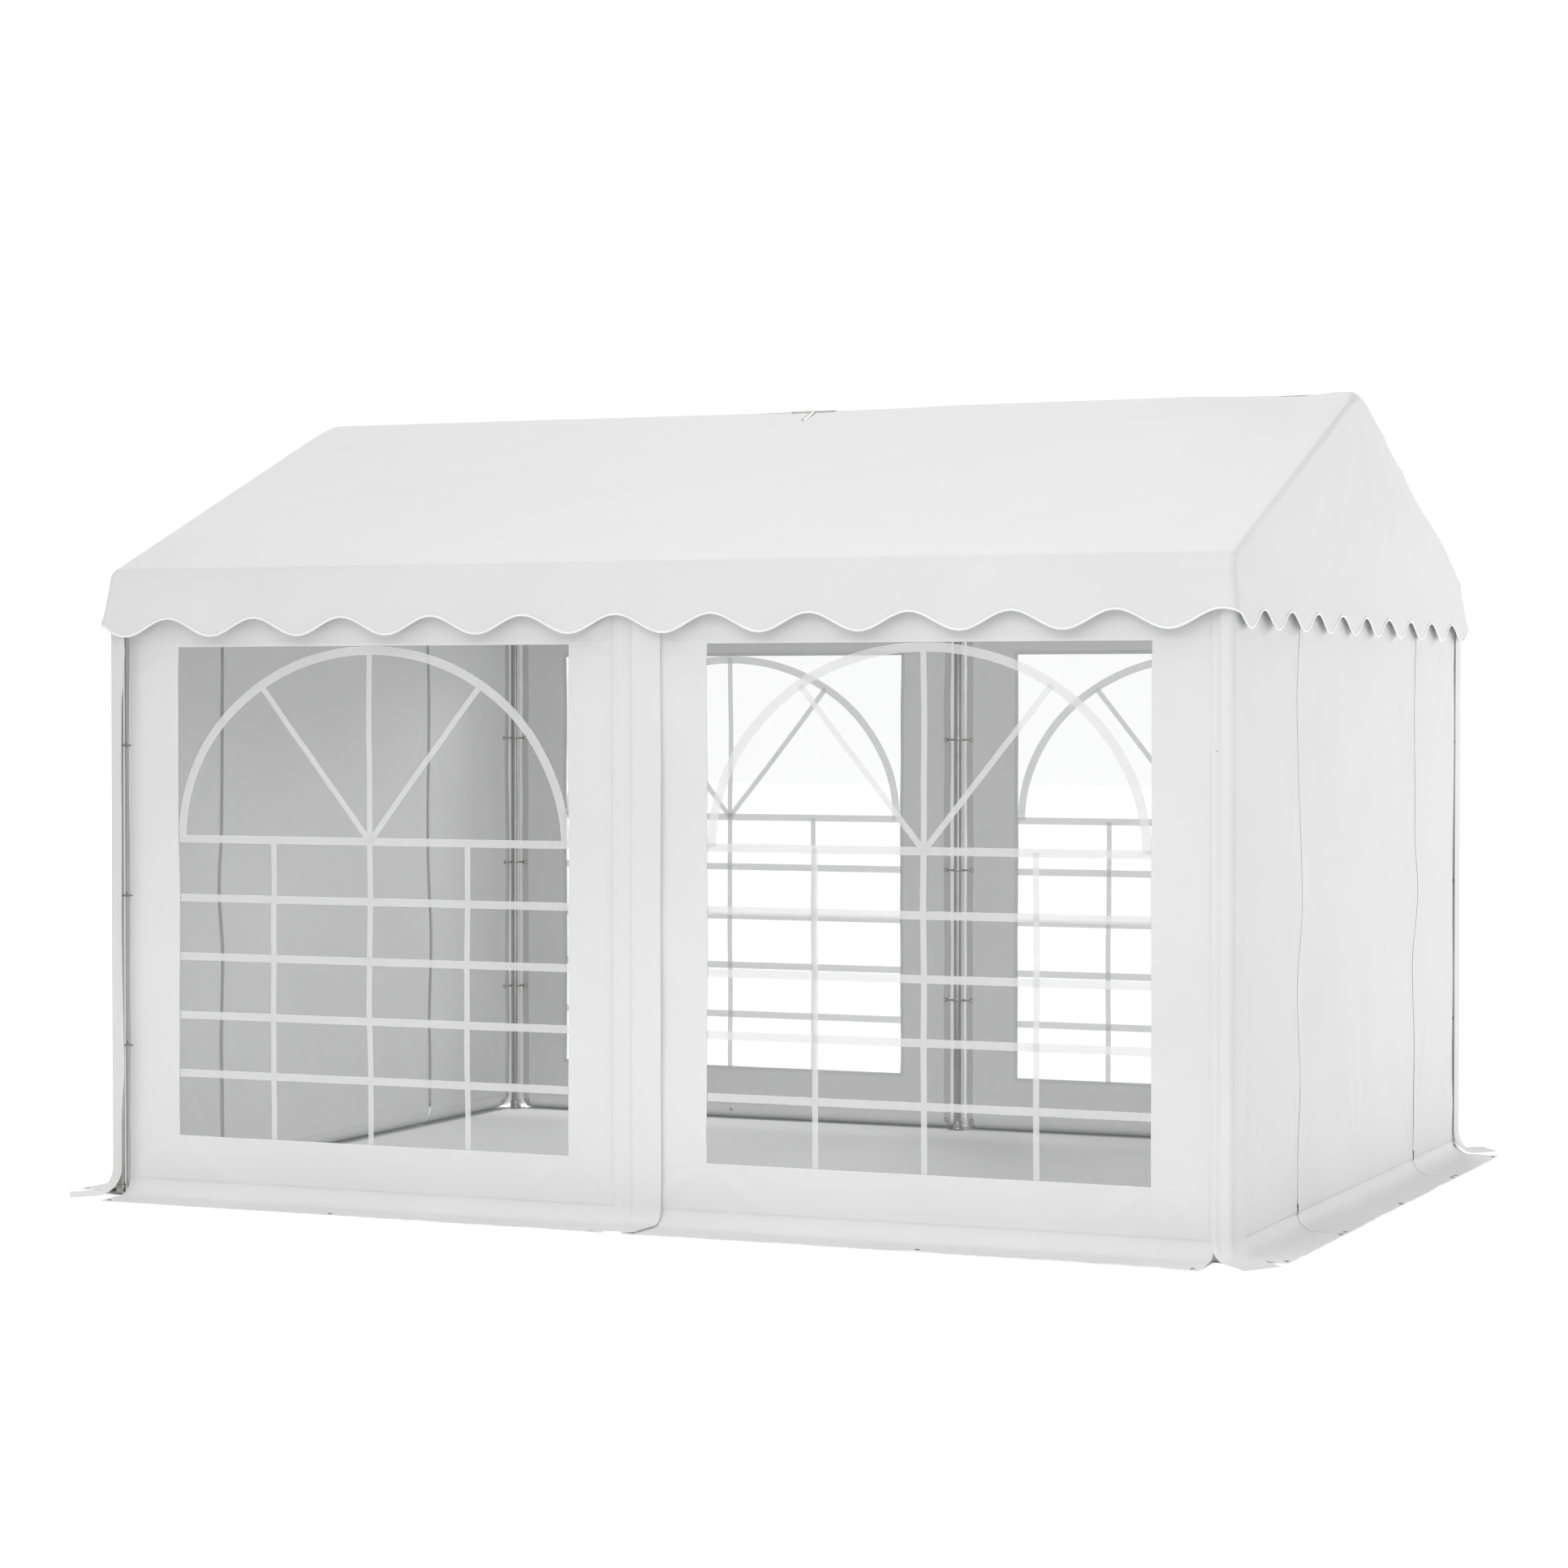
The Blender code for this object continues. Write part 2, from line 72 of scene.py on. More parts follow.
EAVE_STOPS = (0.062, 0.053, 0.045, 0.038, 0.031, 0.024, 0.018, 0.013, 0.009, 0.006, 0.0035, 0.0015, 0.0)
VALANCE_FLARE = 0.022
VALANCE_LEVEL_Z = 2.03
VALANCE_LEVEL_FLARE = VALANCE_FLARE * 0.55
HEM_Z = 1.9655
HEM_DEPTH = 0.0305
HEM_HALF_X = COVER_X + VALANCE_FLARE - CORNER
HEM_HALF_Y = COVER_Y + VALANCE_FLARE - CORNER
FRONT_TROUGH_X = -1.936
FRONT_CREST_X = 1.989
GABLE_TROUGH_Y = 1.402
LEFT_CREST_Y = 1.463
FRONT_COLUMNS = 160
GABLE_COLUMNS = 62
CORNER_COLUMNS = 8
PIPING = (0.0024, 0.0040)

# Walls
WALL_Y = 1.4828
WALL_X = 2.0155
WALL_TOP = 2.13
GABLE_TOP = 2.14
SKIRT_ROUND = 0.060
SKIRT_REST = 0.0035
SKIRT_SEAM_Z = 0.058
SKIRT_END_Y = 1.685
SKIRT_END_X = 2.180
# How far a skirt's corner is drawn out beside a standing and a wrapped flap
SKIRT_CORNER = (-0.012, 0.017)
SEWN_DIP = (0.088, 0.120)
PANEL_X = (0.035, 1.955)
RING_X = (0.055, 1.943)
RING_Y = 1.415
HEM_WIDE = 0.0265
RING_DEPTH = -0.0002
WINDOW_X = (0.25, 1.75)
WINDOW_Z = (0.216, 1.898)
WINDOW_MIDDLE = 1.0
WINDOW_SEAM = 0.015
ZIP_Y = 0.78
ZIP_HALF = 0.0034
LEFT_ZIP_SWAY = -0.35
ZIP_FOOT_Z = 0.080
GABLE_END_Y = 1.450

# Printed bars of a window
SPRING_Z = 1.239
BAR_HEIGHTS = (1.036, 0.834, 0.632, 0.431)
BAR_TALL = 0.0265
BAR_WIDE = 0.020
ARCH_BAND = 0.030
ARCH_RISE = 0.659
SPOKE_REACH = 0.423
SPOKE_Z = 1.763
UPRIGHTS = (-0.372, 0.0, 0.375)

# Flaps over the joints of the walls
FLAP_TOP = 2.045
FLAP_LAYER = 0.0038
MIDDLE_FLAP = (-0.087, 0.090)
MIDDLE_FLAP_END_Y = 1.70
LEG_BULGE = 0.0135
MIDDLE_BULGE = (
    (-0.087, 0.001), (-0.060, 0.006), (-0.026, 0.0003), (-0.011, LEG_BULGE), (0.011, LEG_BULGE),
    (0.050, 0.0115), (0.090, 0.0105),
)
BULGE_SPAN = (0.014, 0.036)
FLAP_SEWN = 0.076
WRAPPED_DROP = 0.062
STANDING_DROP = 0.09
FLAP_RUN = 0.18
FLAP_REST = 0.0077
# Straight part, bend, free part and bulge over the leg
WRAPPED_SHAPE = (0.056, 0.020, 0.095, LEG_BULGE)
STANDING_SHAPE = (FLAP_SEWN, 0.012, 0.083, 0.0)
# How far a standing flap turns in, in degrees by height
STANDING_TURN = (
    (0.00, 53), (0.12, 54), (0.27, 54), (0.44, 60), (0.77, 56), (1.70, 56), (1.79, 61), (1.94, 69),
    (2.045, 76),
)
LONG_TONGUE = ((2.105, 1.682), (2.186, 1.553))
GABLE_TONGUE = ((2.150, 1.565), (2.065, 1.685))

# Legs, for what is fixed to them
LEG_X = {"left": -1.99, "middle": 0.0, "right": 1.99}
LEG_Y = 1.477
LEG_R = 0.0175
LEG_FACETS = 40
LEG_OUTLINE = (
    (0.0385, 0.0), (0.0400, 0.0006), (0.0400, 0.0022), (0.0388, 0.0030), (0.0235, 0.0034), (0.0222, 0.0060),
    (0.0215, 0.0120), (0.0213, 0.0310), (0.0205, 0.0335), (0.0177, 0.0345), (LEG_R, 0.0600), (LEG_R, 2.095),
)
# Heading, in degrees, of the painted highlight stripe down the upright tubes
HIGHLIGHT_STRIPE_HEADING = -15
# Ways round a leg for an elastic loop, in degrees: outside, then inside
MIDDLE_WRAPS = ((150, 120, 90, 60, 30), (210, 240, 270, 300, 330))
CORNER_WRAPS = ((112, 80, 45, 10, -20), (195, 225, 255))
TIE_HEIGHTS = (0.518, 1.038, 1.559)

# Sway of the zips, height and how far they wander along the gable
FRONT_ZIP_SWAY = ((0.0, 0.010), (0.20, 0.010), (0.46, 0.043), (0.78, -0.004), (1.07, 0.053), (1.72, -0.008), (2.0, 0.02))
BACK_ZIP_SWAY = ((0.0, 0.004), (0.25, -0.001), (0.45, 0.012), (0.77, -0.019), (1.02, 0.061), (1.25, 0.012), (1.75, -0.011), (2.0, 0.004))

# Camera, solved from the photo's straight edges
CAMERA_LENS = 85.0
CAMERA_PLACE = (5.2214, -12.3633, 1.7059)
CAMERA_TILT = -1.253
CAMERA_TURN = 23.366

# Studio: the white backdrop, the tones that it lights with by height of the direction, suns and soft boxes
BACKDROP = 1.02
WORLD_TONES = ((0.20, 0.50), (0.27, 0.25), (0.60, 0.25))
FLOOR_GLOW = 0.60
# Painted light under the tent: a weaker floor glow, and an extra glow in a band along the long walls inside
FLOOR_GLOW_INSIDE = 0.21
FLOOR_GLOW_EDGE = 0.10
SUNS = (
    ("left_key", -115, 32, 0.13, 40),
    ("top_key", -90, 78, 0.44, 60),
    ("rim", 120, 45, 0.24, 25),
    ("gable_key", 60, 14, 0.22, 22),
)
SOFT_BOXES = (
    ("front_box", (2.0, -6.0, 4.6), (1.0, -1.5, 1.8), (3.0, 3.0), 61.0),
    ("front_strip", (0.0, -2.6, 0.35), (0.0, -1.5, 0.25), (5.0, 0.5), 4.5),
    ("gable_box", (6.5, 2.0, 1.3), (2.0, 0.3, 0.8), (2.5, 2.5), 52.0),
    ("inside_fill", (0.9, -1.0, 1.2), (-0.3, 1.5, 0.7), (1.6, 1.4), 8.0),
)


# Small helpers for shapes


def noise(across, along, seed):
    """Smooth random waves from about -1 to 1, one for each unit of both directions."""
    low_a = np.floor(across)
    low_b = np.floor(along)
    part_a = across - low_a
    part_b = along - low_b

    def corner(step_a, step_b):
        mixed = (low_a.astype(np.int64) + step_a) * 374761393 + (low_b.astype(np.int64) + step_b) * 668265263
        mixed = (mixed + seed * 1442695041) & 0x7FFFFFFF
        mixed = ((mixed ^ (mixed >> 13)) * 1274126177) & 0x7FFFFFFF
        angle = (mixed ^ (mixed >> 16)) % 4096 * math.tau / 4096
        return np.cos(angle) * (part_a - step_a) + np.sin(angle) * (part_b - step_b)

    ease_a = part_a**3 * (part_a * (part_a * 6 - 15) + 10)
    ease_b = part_b**3 * (part_b * (part_b * 6 - 15) + 10)
    near = corner(0, 0) + (corner(1, 0) - corner(0, 0)) * ease_a
    far = corner(0, 1) + (corner(1, 1) - corner(0, 1)) * ease_a
    return 1.5 * (near + (far - near) * ease_b)


def ease(low, high, value):
    """0 up to low and 1 from high, with a soft change between them."""
    share = np.clip((value - low) / (high - low), 0.0, 1.0)
    return share * share * (3 - 2 * share)


def bell(value, width):
    return np.exp(-((value / width) ** 2))


def eased_knots(value, knots):
    """A smooth line through (place, height) knots."""
    places = np.array([knot[0] for knot in knots])
    heights = np.array([knot[1] for knot in knots])
    index = np.clip(np.searchsorted(places, value) - 1, 0, len(knots) - 2)
    share = np.clip((value - places[index]) / (places[index + 1] - places[index]), 0.0, 1.0)
    return heights[index] + (heights[index + 1] - heights[index]) * share * share * (3 - 2 * share)


def fold(a, b, start, end, width, height, bow=0.0):
    """A soft ridge along a bowed line in the plane (a, b), fading at both ends."""
    run_a = end[0] - start[0]
    run_b = end[1] - start[1]
    length = math.hypot(run_a, run_b)
    along = ((a - start[0]) * run_a + (b - start[1]) * run_b) / length**2
    across = ((b - start[1]) * run_a - (a - start[0]) * run_b) / length
    across = across - bow * 4 * along * (1 - along)
    fade = ease(-0.12, 0.4, along) * (1 - ease(0.6, 1.12, along))
    return height * fade * bell(across, width)


def fan(a, b, centre, headings, reach, width, height, seed):
    """Folds that spread from a point at about the given headings, in degrees from +a."""
    chance = random.Random(seed)
    total = np.zeros_like(a)
    for heading in headings:
        turn = math.radians(heading + chance.uniform(-3, 3))
        length = reach * chance.uniform(0.65, 1.15)
        tall = height * chance.uniform(0.45, 1.1)
        along = ((a - centre[0]) * math.cos(turn) + (b - centre[1]) * math.sin(turn)) / length
        across = (b - centre[1]) * math.cos(turn) - (a - centre[0]) * math.sin(turn)
        spread = width * (0.35 + 1.2 * np.clip(along, 0, 1.3))
        fade = ease(0.02, 0.3, along) * (1 - ease(0.35, 1.0, along))
        total = total + tall * fade * bell(across, spread)
    return total


def stations(start, end, step, marks=()):
    """Places from start to end, at most a step apart, through the marks and close at both ends."""
    stops = sorted({start, start + HOLD, end - HOLD, end, *marks})
    line = [stops[0]]
    for before, after in zip(stops, stops[1:]):
        count = max(1, math.ceil((after - before) / step - 1e-6))
        line += [before + (after - before) * number / count for number in range(1, count + 1)]
    return line


def add_piece(name, mesh, finish, smooth=True):
    mesh.materials.append(finish)
    if smooth:
        mesh.shade_smooth()
    piece = bpy.data.objects.new(name, mesh)
    bpy.context.scene.collection.objects.link(piece)
    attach(piece, "root")
    return piece


def sheet(name, across, down, place, facing, finish, thick=CLOTH, keep=None, inside=None, hem=None):
    """Lay a grid of stations in space as one sheet, its outer face looking along facing.

    Its inner face takes the finish called inside, or only where hem says so.
    """
    u, v = np.meshgrid(np.array(across), np.array(down))
    points = np.stack(place(u, v), axis=-1).reshape(-1, 3)
    index = np.arange(u.size).reshape(u.shape)
    quads = np.stack((index[:-1, :-1], index[:-1, 1:], index[1:, 1:], index[1:, :-1]), axis=-1)
    middle_u = (u[:-1, :-1] + u[1:, 1:]) / 2
    middle_v = (v[:-1, :-1] + v[1:, 1:]) / 2
    kept = np.full(middle_u.shape, True) if keep is None else keep(middle_u, middle_v)
    quads = quads[kept].reshape(-1, 4)
    one = points[quads[:, 1]] - points[quads[:, 0]]
    two = points[quads[:, 3]] - points[quads[:, 0]]
    if (np.cross(one, two) @ np.array(facing, float)).sum() < 0:
        quads = quads[:, ::-1]
    used, quads = np.unique(quads, return_inverse=True)
    mesh = bpy.data.meshes.new(name)
    mesh.from_pydata(points[used].tolist(), [], quads.reshape(-1, 4).tolist())
    mesh.update()
    piece = add_piece(name, mesh, finish)
    solid = thicken(piece, thick)
    if inside is not None:
        marked = np.full(middle_u.shape, True) if hem is None else hem(middle_u)
        for other in (finish, inside):
            mesh.materials.append(other)
        mesh.polygons.foreach_set("material_index", marked[kept].astype(np.int32))
        solid.material_offset = 1
    return piece


def thicken(piece, thick):
    solid = piece.modifiers.new("thickness", "SOLIDIFY")
    solid.thickness = thick
    solid.offset = -1
    solid.use_even_offset = False
    return solid


def tube_mesh(shape, path, radius, facets=8, closed=False):
    """Sweep a ring along a path; radius is one number or a pair, across and along the path's upright."""
    wide, tall = radius if isinstance(radius, tuple) else (radius, radius)
    points = [Vector(point) for point in path]
    count = len(points)
    rings = []
    for number, point in enumerate(points):
        before = points[number - 1] if number or closed else point
        after = points[(number + 1) % count] if number + 1 < count or closed else point
        ahead = (after - before).normalized()
        level = ahead.cross(Vector((0, 0, 1)))
        if level.length < 0.2:
            level = ahead.cross(Vector((0, 1, 0)))
        level.normalize()
        upright = level.cross(ahead)
        ring = []
        for step in range(facets):
            turn = math.tau * step / facets
            ring.append(shape.verts.new(point + level * (wide * math.cos(turn)) + upright * (tall * math.sin(turn))))
        rings.append(ring)
    pairs = list(zip(rings, rings[1:]))
    if closed:
        pairs.append((rings[-1], rings[0]))
    for lower, upper in pairs:
        for step in range(facets):
            after = (step + 1) % facets
            shape.faces.new((lower[step], lower[after], upper[after], upper[step]))
    if not closed:
        shape.faces.new(reversed(rings[0]))
        shape.faces.new(rings[-1])


def finish_shape(name, shape, finish, smooth=True):
    bmesh.ops.recalc_face_normals(shape, faces=shape.faces)
    mesh = bpy.data.meshes.new(name)
    shape.to_mesh(mesh)
    shape.free()
    return add_piece(name, mesh, finish, smooth)


# Materials


def material(name, colour, roughness, metallic=0.0, alpha=1.0, specular=0.5):
    made = bpy.data.materials.new(name)
    made.use_nodes = True
    shader = made.node_tree.nodes["Principled BSDF"]
    shader.inputs["Base Color"].default_value = (*colour, 1.0)
    shader.inputs["Roughness"].default_value = roughness
    shader.inputs["Metallic"].default_value = metallic
    shader.inputs["Alpha"].default_value = alpha
    shader.inputs["Specular IOR Level"].default_value = specular
    made.diffuse_color = (*colour, alpha)
    return made


def node(made, kind, **settings):
    added = made.node_tree.nodes.new(kind)
    for key, value in settings.items():
        if key in added.inputs:
            added.inputs[key].default_value = value
        else:
            setattr(added, key, value)
    return added


def join(made, source, target):
    made.node_tree.links.new(source, target)


def mottle(made, low, high, scale, stretch=(1, 1, 1)):
    """Colour that drifts softly between two tones."""
    shader = made.node_tree.nodes["Principled BSDF"]
    place = node(made, "ShaderNodeTexCoord")
    scaled = node(made, "ShaderNodeMapping", Scale=stretch)
    cloud = node(made, "ShaderNodeTexNoise", Scale=scale, Detail=4.0)
    tones = node(made, "ShaderNodeValToRGB")
    tones.color_ramp.elements[0].position = 0.3
    tones.color_ramp.elements[0].color = (*low, 1)
    tones.color_ramp.elements[1].position = 0.7
    tones.color_ramp.elements[1].color = (*high, 1)
    join(made, place.outputs["Object"], scaled.inputs["Vector"])
    join(made, scaled.outputs["Vector"], cloud.inputs["Vector"])
    join(made, cloud.outputs["Fac"], tones.inputs["Fac"])
    join(made, tones.outputs["Color"], shader.inputs["Base Color"])
    return place, cloud


def uneven_gloss(made, cloud, low, high):
    shader = made.node_tree.nodes["Principled BSDF"]
    spread = node(made, "ShaderNodeMapRange", **{"To Min": low, "To Max": high})
    join(made, cloud.outputs["Fac"], spread.inputs["Value"])
    join(made, spread.outputs["Result"], shader.inputs["Roughness"])


def relief(made, heights, strength, distance):
    """Bump from the sum of height outputs."""
    shader = made.node_tree.nodes["Principled BSDF"]
    total = heights[0]
    for height in heights[1:]:
        added = node(made, "ShaderNodeMath", operation="ADD")
        join(made, total, added.inputs[0])
        join(made, height, added.inputs[1])
        total = added.outputs[0]
    bump = node(made, "ShaderNodeBump", Strength=strength, Distance=distance)
    join(made, total, bump.inputs["Height"])
    join(made, bump.outputs["Normal"], shader.inputs["Normal"])


def cloth_material():
    """Coated sheeting: a fine square weave under a satin coat, with a soft drift of tone and gloss."""
    made = material("white_cover_cloth", (0.72, 0.72, 0.72), 0.55, specular=0.15)
    place, cloud = mottle(made, (0.705, 0.705, 0.705), (0.735, 0.735, 0.735), 1.7)
    uneven_gloss(made, cloud, 0.50, 0.62)
    heights = []
    for direction in ("X", "Y", "Z"):
        thread = node(made, "ShaderNodeTexWave", bands_direction=direction, Scale=190.0)
        join(made, place.outputs["Object"], thread.inputs["Vector"])
        heights.append(thread.outputs["Fac"])
    relief(made, heights, 0.12, 0.0001)
    return made


def film_material():
    made = material("clear_window_film", (0.90, 0.91, 0.92), 0.06, alpha=0.05)
    place = node(made, "ShaderNodeTexCoord")
    cloud = node(made, "ShaderNodeTexNoise", Scale=6.0, Detail=2.0)
    join(made, place.outputs["Object"], cloud.inputs["Vector"])
    uneven_gloss(made, cloud, 0.04, 0.10)
    relief(made, [cloud.outputs["Fac"]], 0.10, 0.002)
    return made


def print_material():
    made = material("white_print", (0.86, 0.86, 0.86), 0.4, alpha=0.45)
    place, cloud = mottle(made, (0.85, 0.85, 0.85), (0.88, 0.88, 0.88), 5.0)
    uneven_gloss(made, cloud, 0.34, 0.46)
    return made


def piping_material():
    made = material("white_piping", (0.86, 0.86, 0.86), 0.45)
    place, cloud = mottle(made, (0.85, 0.85, 0.85), (0.88, 0.88, 0.88), 9.0)
    fine = node(made, "ShaderNodeTexNoise", Scale=600.0, Detail=1.0)
    join(made, place.outputs["Object"], fine.inputs["Vector"])
    relief(made, [fine.outputs["Fac"]], 0.2, 0.0002)
    return made


def painted_highlight_stripe(made):
    """A painted highlight: a bright, less metallic stripe down each upright tube, at one fixed heading, standing in
    for the reflection at the tubes' edge.
    """
    shader = made.node_tree.nodes["Principled BSDF"]
    surface = node(made, "ShaderNodeNewGeometry")
    toward = node(made, "ShaderNodeVectorMath", operation="DOT_PRODUCT")
    turn = math.radians(HIGHLIGHT_STRIPE_HEADING)
    toward.inputs[1].default_value = (math.cos(turn), math.sin(turn), 0.0)
    narrow_band = node(made, "ShaderNodeMapRange", **{"From Min": 0.968, "From Max": 0.985, "To Max": 0.9})
    highlight_metallic = node(made, "ShaderNodeMapRange", **{"From Min": 0.968, "From Max": 0.985, "To Min": 1.0, "To Max": 0.1})
    brighter = node(made, "ShaderNodeVectorMath", operation="MAXIMUM")
    join(made, surface.outputs["Normal"], toward.inputs[0])
    for spread in (narrow_band, highlight_metallic):
        join(made, toward.outputs["Value"], spread.inputs["Value"])
    join(made, shader.inputs["Base Color"].links[0].from_socket, brighter.inputs[0])
    join(made, narrow_band.outputs["Result"], brighter.inputs[1])
    join(made, brighter.outputs["Vector"], shader.inputs["Base Color"])
    join(made, highlight_metallic.outputs["Result"], shader.inputs["Metallic"])


def steel_material(name, low, high, low_gloss, high_gloss):
    """Galvanised tube: drawn along its length, with soft spangle."""
    made = material(name, high, high_gloss, metallic=1.0)
    place, cloud = mottle(made, low, high, 14.0)
    uneven_gloss(made, cloud, low_gloss, high_gloss)
    spangle = node(made, "ShaderNodeTexVoronoi", Scale=90.0)
    join(made, place.outputs["Object"], spangle.inputs["Vector"])
    relief(made, [spangle.outputs["Distance"]], 0.08, 0.0005)
    return made


def small_part_material(name, low, high, scale, roughness, metallic=0.0):
    made = material(name, low, roughness, metallic=metallic)
    place, cloud = mottle(made, low, high, scale)
    relief(made, [cloud.outputs["Fac"]], 0.15, 0.0004)
    return made


def plain_cloth_material(name, low, high, shine_through=0.0):
    """Plain cloth or tape of one tone, with a fine weave, and a painted glow of strength shine_through that stands in
    for daylight coming through it.
    """
    made = material(name, high, 0.6, specular=0.15)
    shader = made.node_tree.nodes["Principled BSDF"]
    shader.inputs["Emission Color"].default_value = (1.0, 1.0, 1.0, 1.0)
    shader.inputs["Emission Strength"].default_value = shine_through
    place, cloud = mottle(made, low, high, 4.0)
    thread = node(made, "ShaderNodeTexWave", bands_direction="Z", Scale=190.0)
    join(made, place.outputs["Object"], thread.inputs["Vector"])
    relief(made, [thread.outputs["Fac"], cloud.outputs["Fac"]], 0.12, 0.0001)
    return made


cloth_finish = cloth_material()
# Painted shade: the inner face of the hems is darker, where the doubled cloth lets less daylight through
hem_inside_shade_finish = plain_cloth_material("hem_inside_painted_shade", (0.50, 0.50, 0.50), (0.54, 0.54, 0.54))
# Painted light: the flaps' inner face is lighter and glows, standing in for daylight through the single layer
flap_inside_glow_finish = plain_cloth_material("flap_inside_painted_glow", (0.88, 0.88, 0.88), (0.92, 0.92, 0.92), 0.20)
tape_finish = plain_cloth_material("zip_tape_grey", (0.34, 0.34, 0.34), (0.40, 0.40, 0.40))
# Painted light: the holes of the wall eyelets glow, standing in for light that shows through them
hole_glow_finish = plain_cloth_material("painted_glow_in_eyelet_hole", (0.80, 0.80, 0.80), (0.84, 0.84, 0.84), 0.25)
film_finish = film_material()
print_finish = print_material()
piping_finish = piping_material()
tube_finish = steel_material("galvanised_tube", (0.29, 0.288, 0.285), (0.36, 0.358, 0.355), 0.14, 0.26)
# Painted highlight: a bright stripe on the tubes at one fixed heading
painted_highlight_stripe(tube_finish)
joint_finish = steel_material("connector_steel", (0.30, 0.298, 0.295), (0.38, 0.378, 0.375), 0.28, 0.42)
zip_finish = small_part_material("zip_grey", (0.10, 0.10, 0.10), (0.16, 0.16, 0.16), 300.0, 0.5)
slider_finish = small_part_material("zip_slider_metal", (0.20, 0.20, 0.20), (0.30, 0.30, 0.30), 200.0, 0.35, 0.9)
eyelet_finish = small_part_material("eyelet_metal", (0.12, 0.12, 0.125), (0.20, 0.20, 0.21), 250.0, 0.4, 0.8)
# Painted shade: the holes of the skirt eyelets are a dark disc where the floor shows in shade
hole_shade_finish = small_part_material("eyelet_shade", (0.16, 0.16, 0.16), (0.20, 0.20, 0.20), 120.0, 0.9)
elastic_finish = small_part_material("elastic_cord_brown", (0.20, 0.15, 0.11), (0.34, 0.27, 0.20), 500.0, 0.8)
knot_finish = small_part_material("toggle_black", (0.03, 0.03, 0.03), (0.06, 0.06, 0.06), 200.0, 0.45)


# Camera, floor and light


def floor_material():
    """Pale floor that glows softly like a light table; under the tent its glow is painted light, weaker, brighter
    towards the left and along the long walls, with painted shade at the walls' feet.
    """
    made = material("pale_floor", (0.50, 0.50, 0.50), 0.9, specular=0.0)
    shader = made.node_tree.nodes["Principled BSDF"]
    shader.inputs["Emission Color"].default_value = (1.0, 1.0, 1.0, 1.0)
    place = node(made, "ShaderNodeTexCoord")
    split = node(made, "ShaderNodeSeparateXYZ")
    join(made, place.outputs["Object"], split.inputs["Vector"])
    size = {}
    for axis in "XY":
        size[axis] = node(made, "ShaderNodeMath", operation="ABSOLUTE")
        join(made, split.outputs[axis], size[axis].inputs[0])

    def rise(axis, start, end, low, high):
        change = node(made, "ShaderNodeMapRange", **{
            "From Min": start, "From Max": end, "To Min": low, "To Max": high,
        })
        join(made, size[axis].outputs[0], change.inputs["Value"])
        return change.outputs["Result"]

    def combine(operation, *sources):
        total = sources[0]
        for source in sources[1:]:
            step = node(made, "ShaderNodeMath", operation=operation)
            join(made, total, step.inputs[0])
            join(made, source, step.inputs[1])
            total = step.outputs[0]
        return total

    # Painted light: the glow under the tent grows towards the left
    painted_light_toward_left = node(made, "ShaderNodeMapRange", **{
        "From Min": -1.5, "From Max": 0.8, "To Min": 1.3, "To Max": 0.6,
    })
    join(made, split.outputs["X"], painted_light_toward_left.inputs["Value"])
    painted_light_under_tent = combine(
        "MULTIPLY",
        painted_light_toward_left.outputs["Result"],
        # Painted light: a brighter band along the long walls inside
        rise("Y", 1.10, 1.35, FLOOR_GLOW_INSIDE, FLOOR_GLOW_INSIDE + FLOOR_GLOW_EDGE),
        # Painted shade: the glow drops to a dark line at the feet of the long walls and gables
        rise("Y", 1.47, 1.50, 1.0, 0.05),
        rise("X", 2.00, 2.03, 1.0, 0.05),
    )
    corner = combine("MULTIPLY", rise("X", 1.95, 1.97, 0.0, FLOOR_GLOW), rise("Y", 1.49, 1.51, 0.0, 1.0))
    glow = combine(
        "MAXIMUM", painted_light_under_tent, corner,
        rise("Y", 1.60, 1.64, 0.0, FLOOR_GLOW), rise("X", 2.10, 2.14, 0.0, FLOOR_GLOW),
    )
    join(made, glow, shader.inputs["Emission Strength"])
    return made


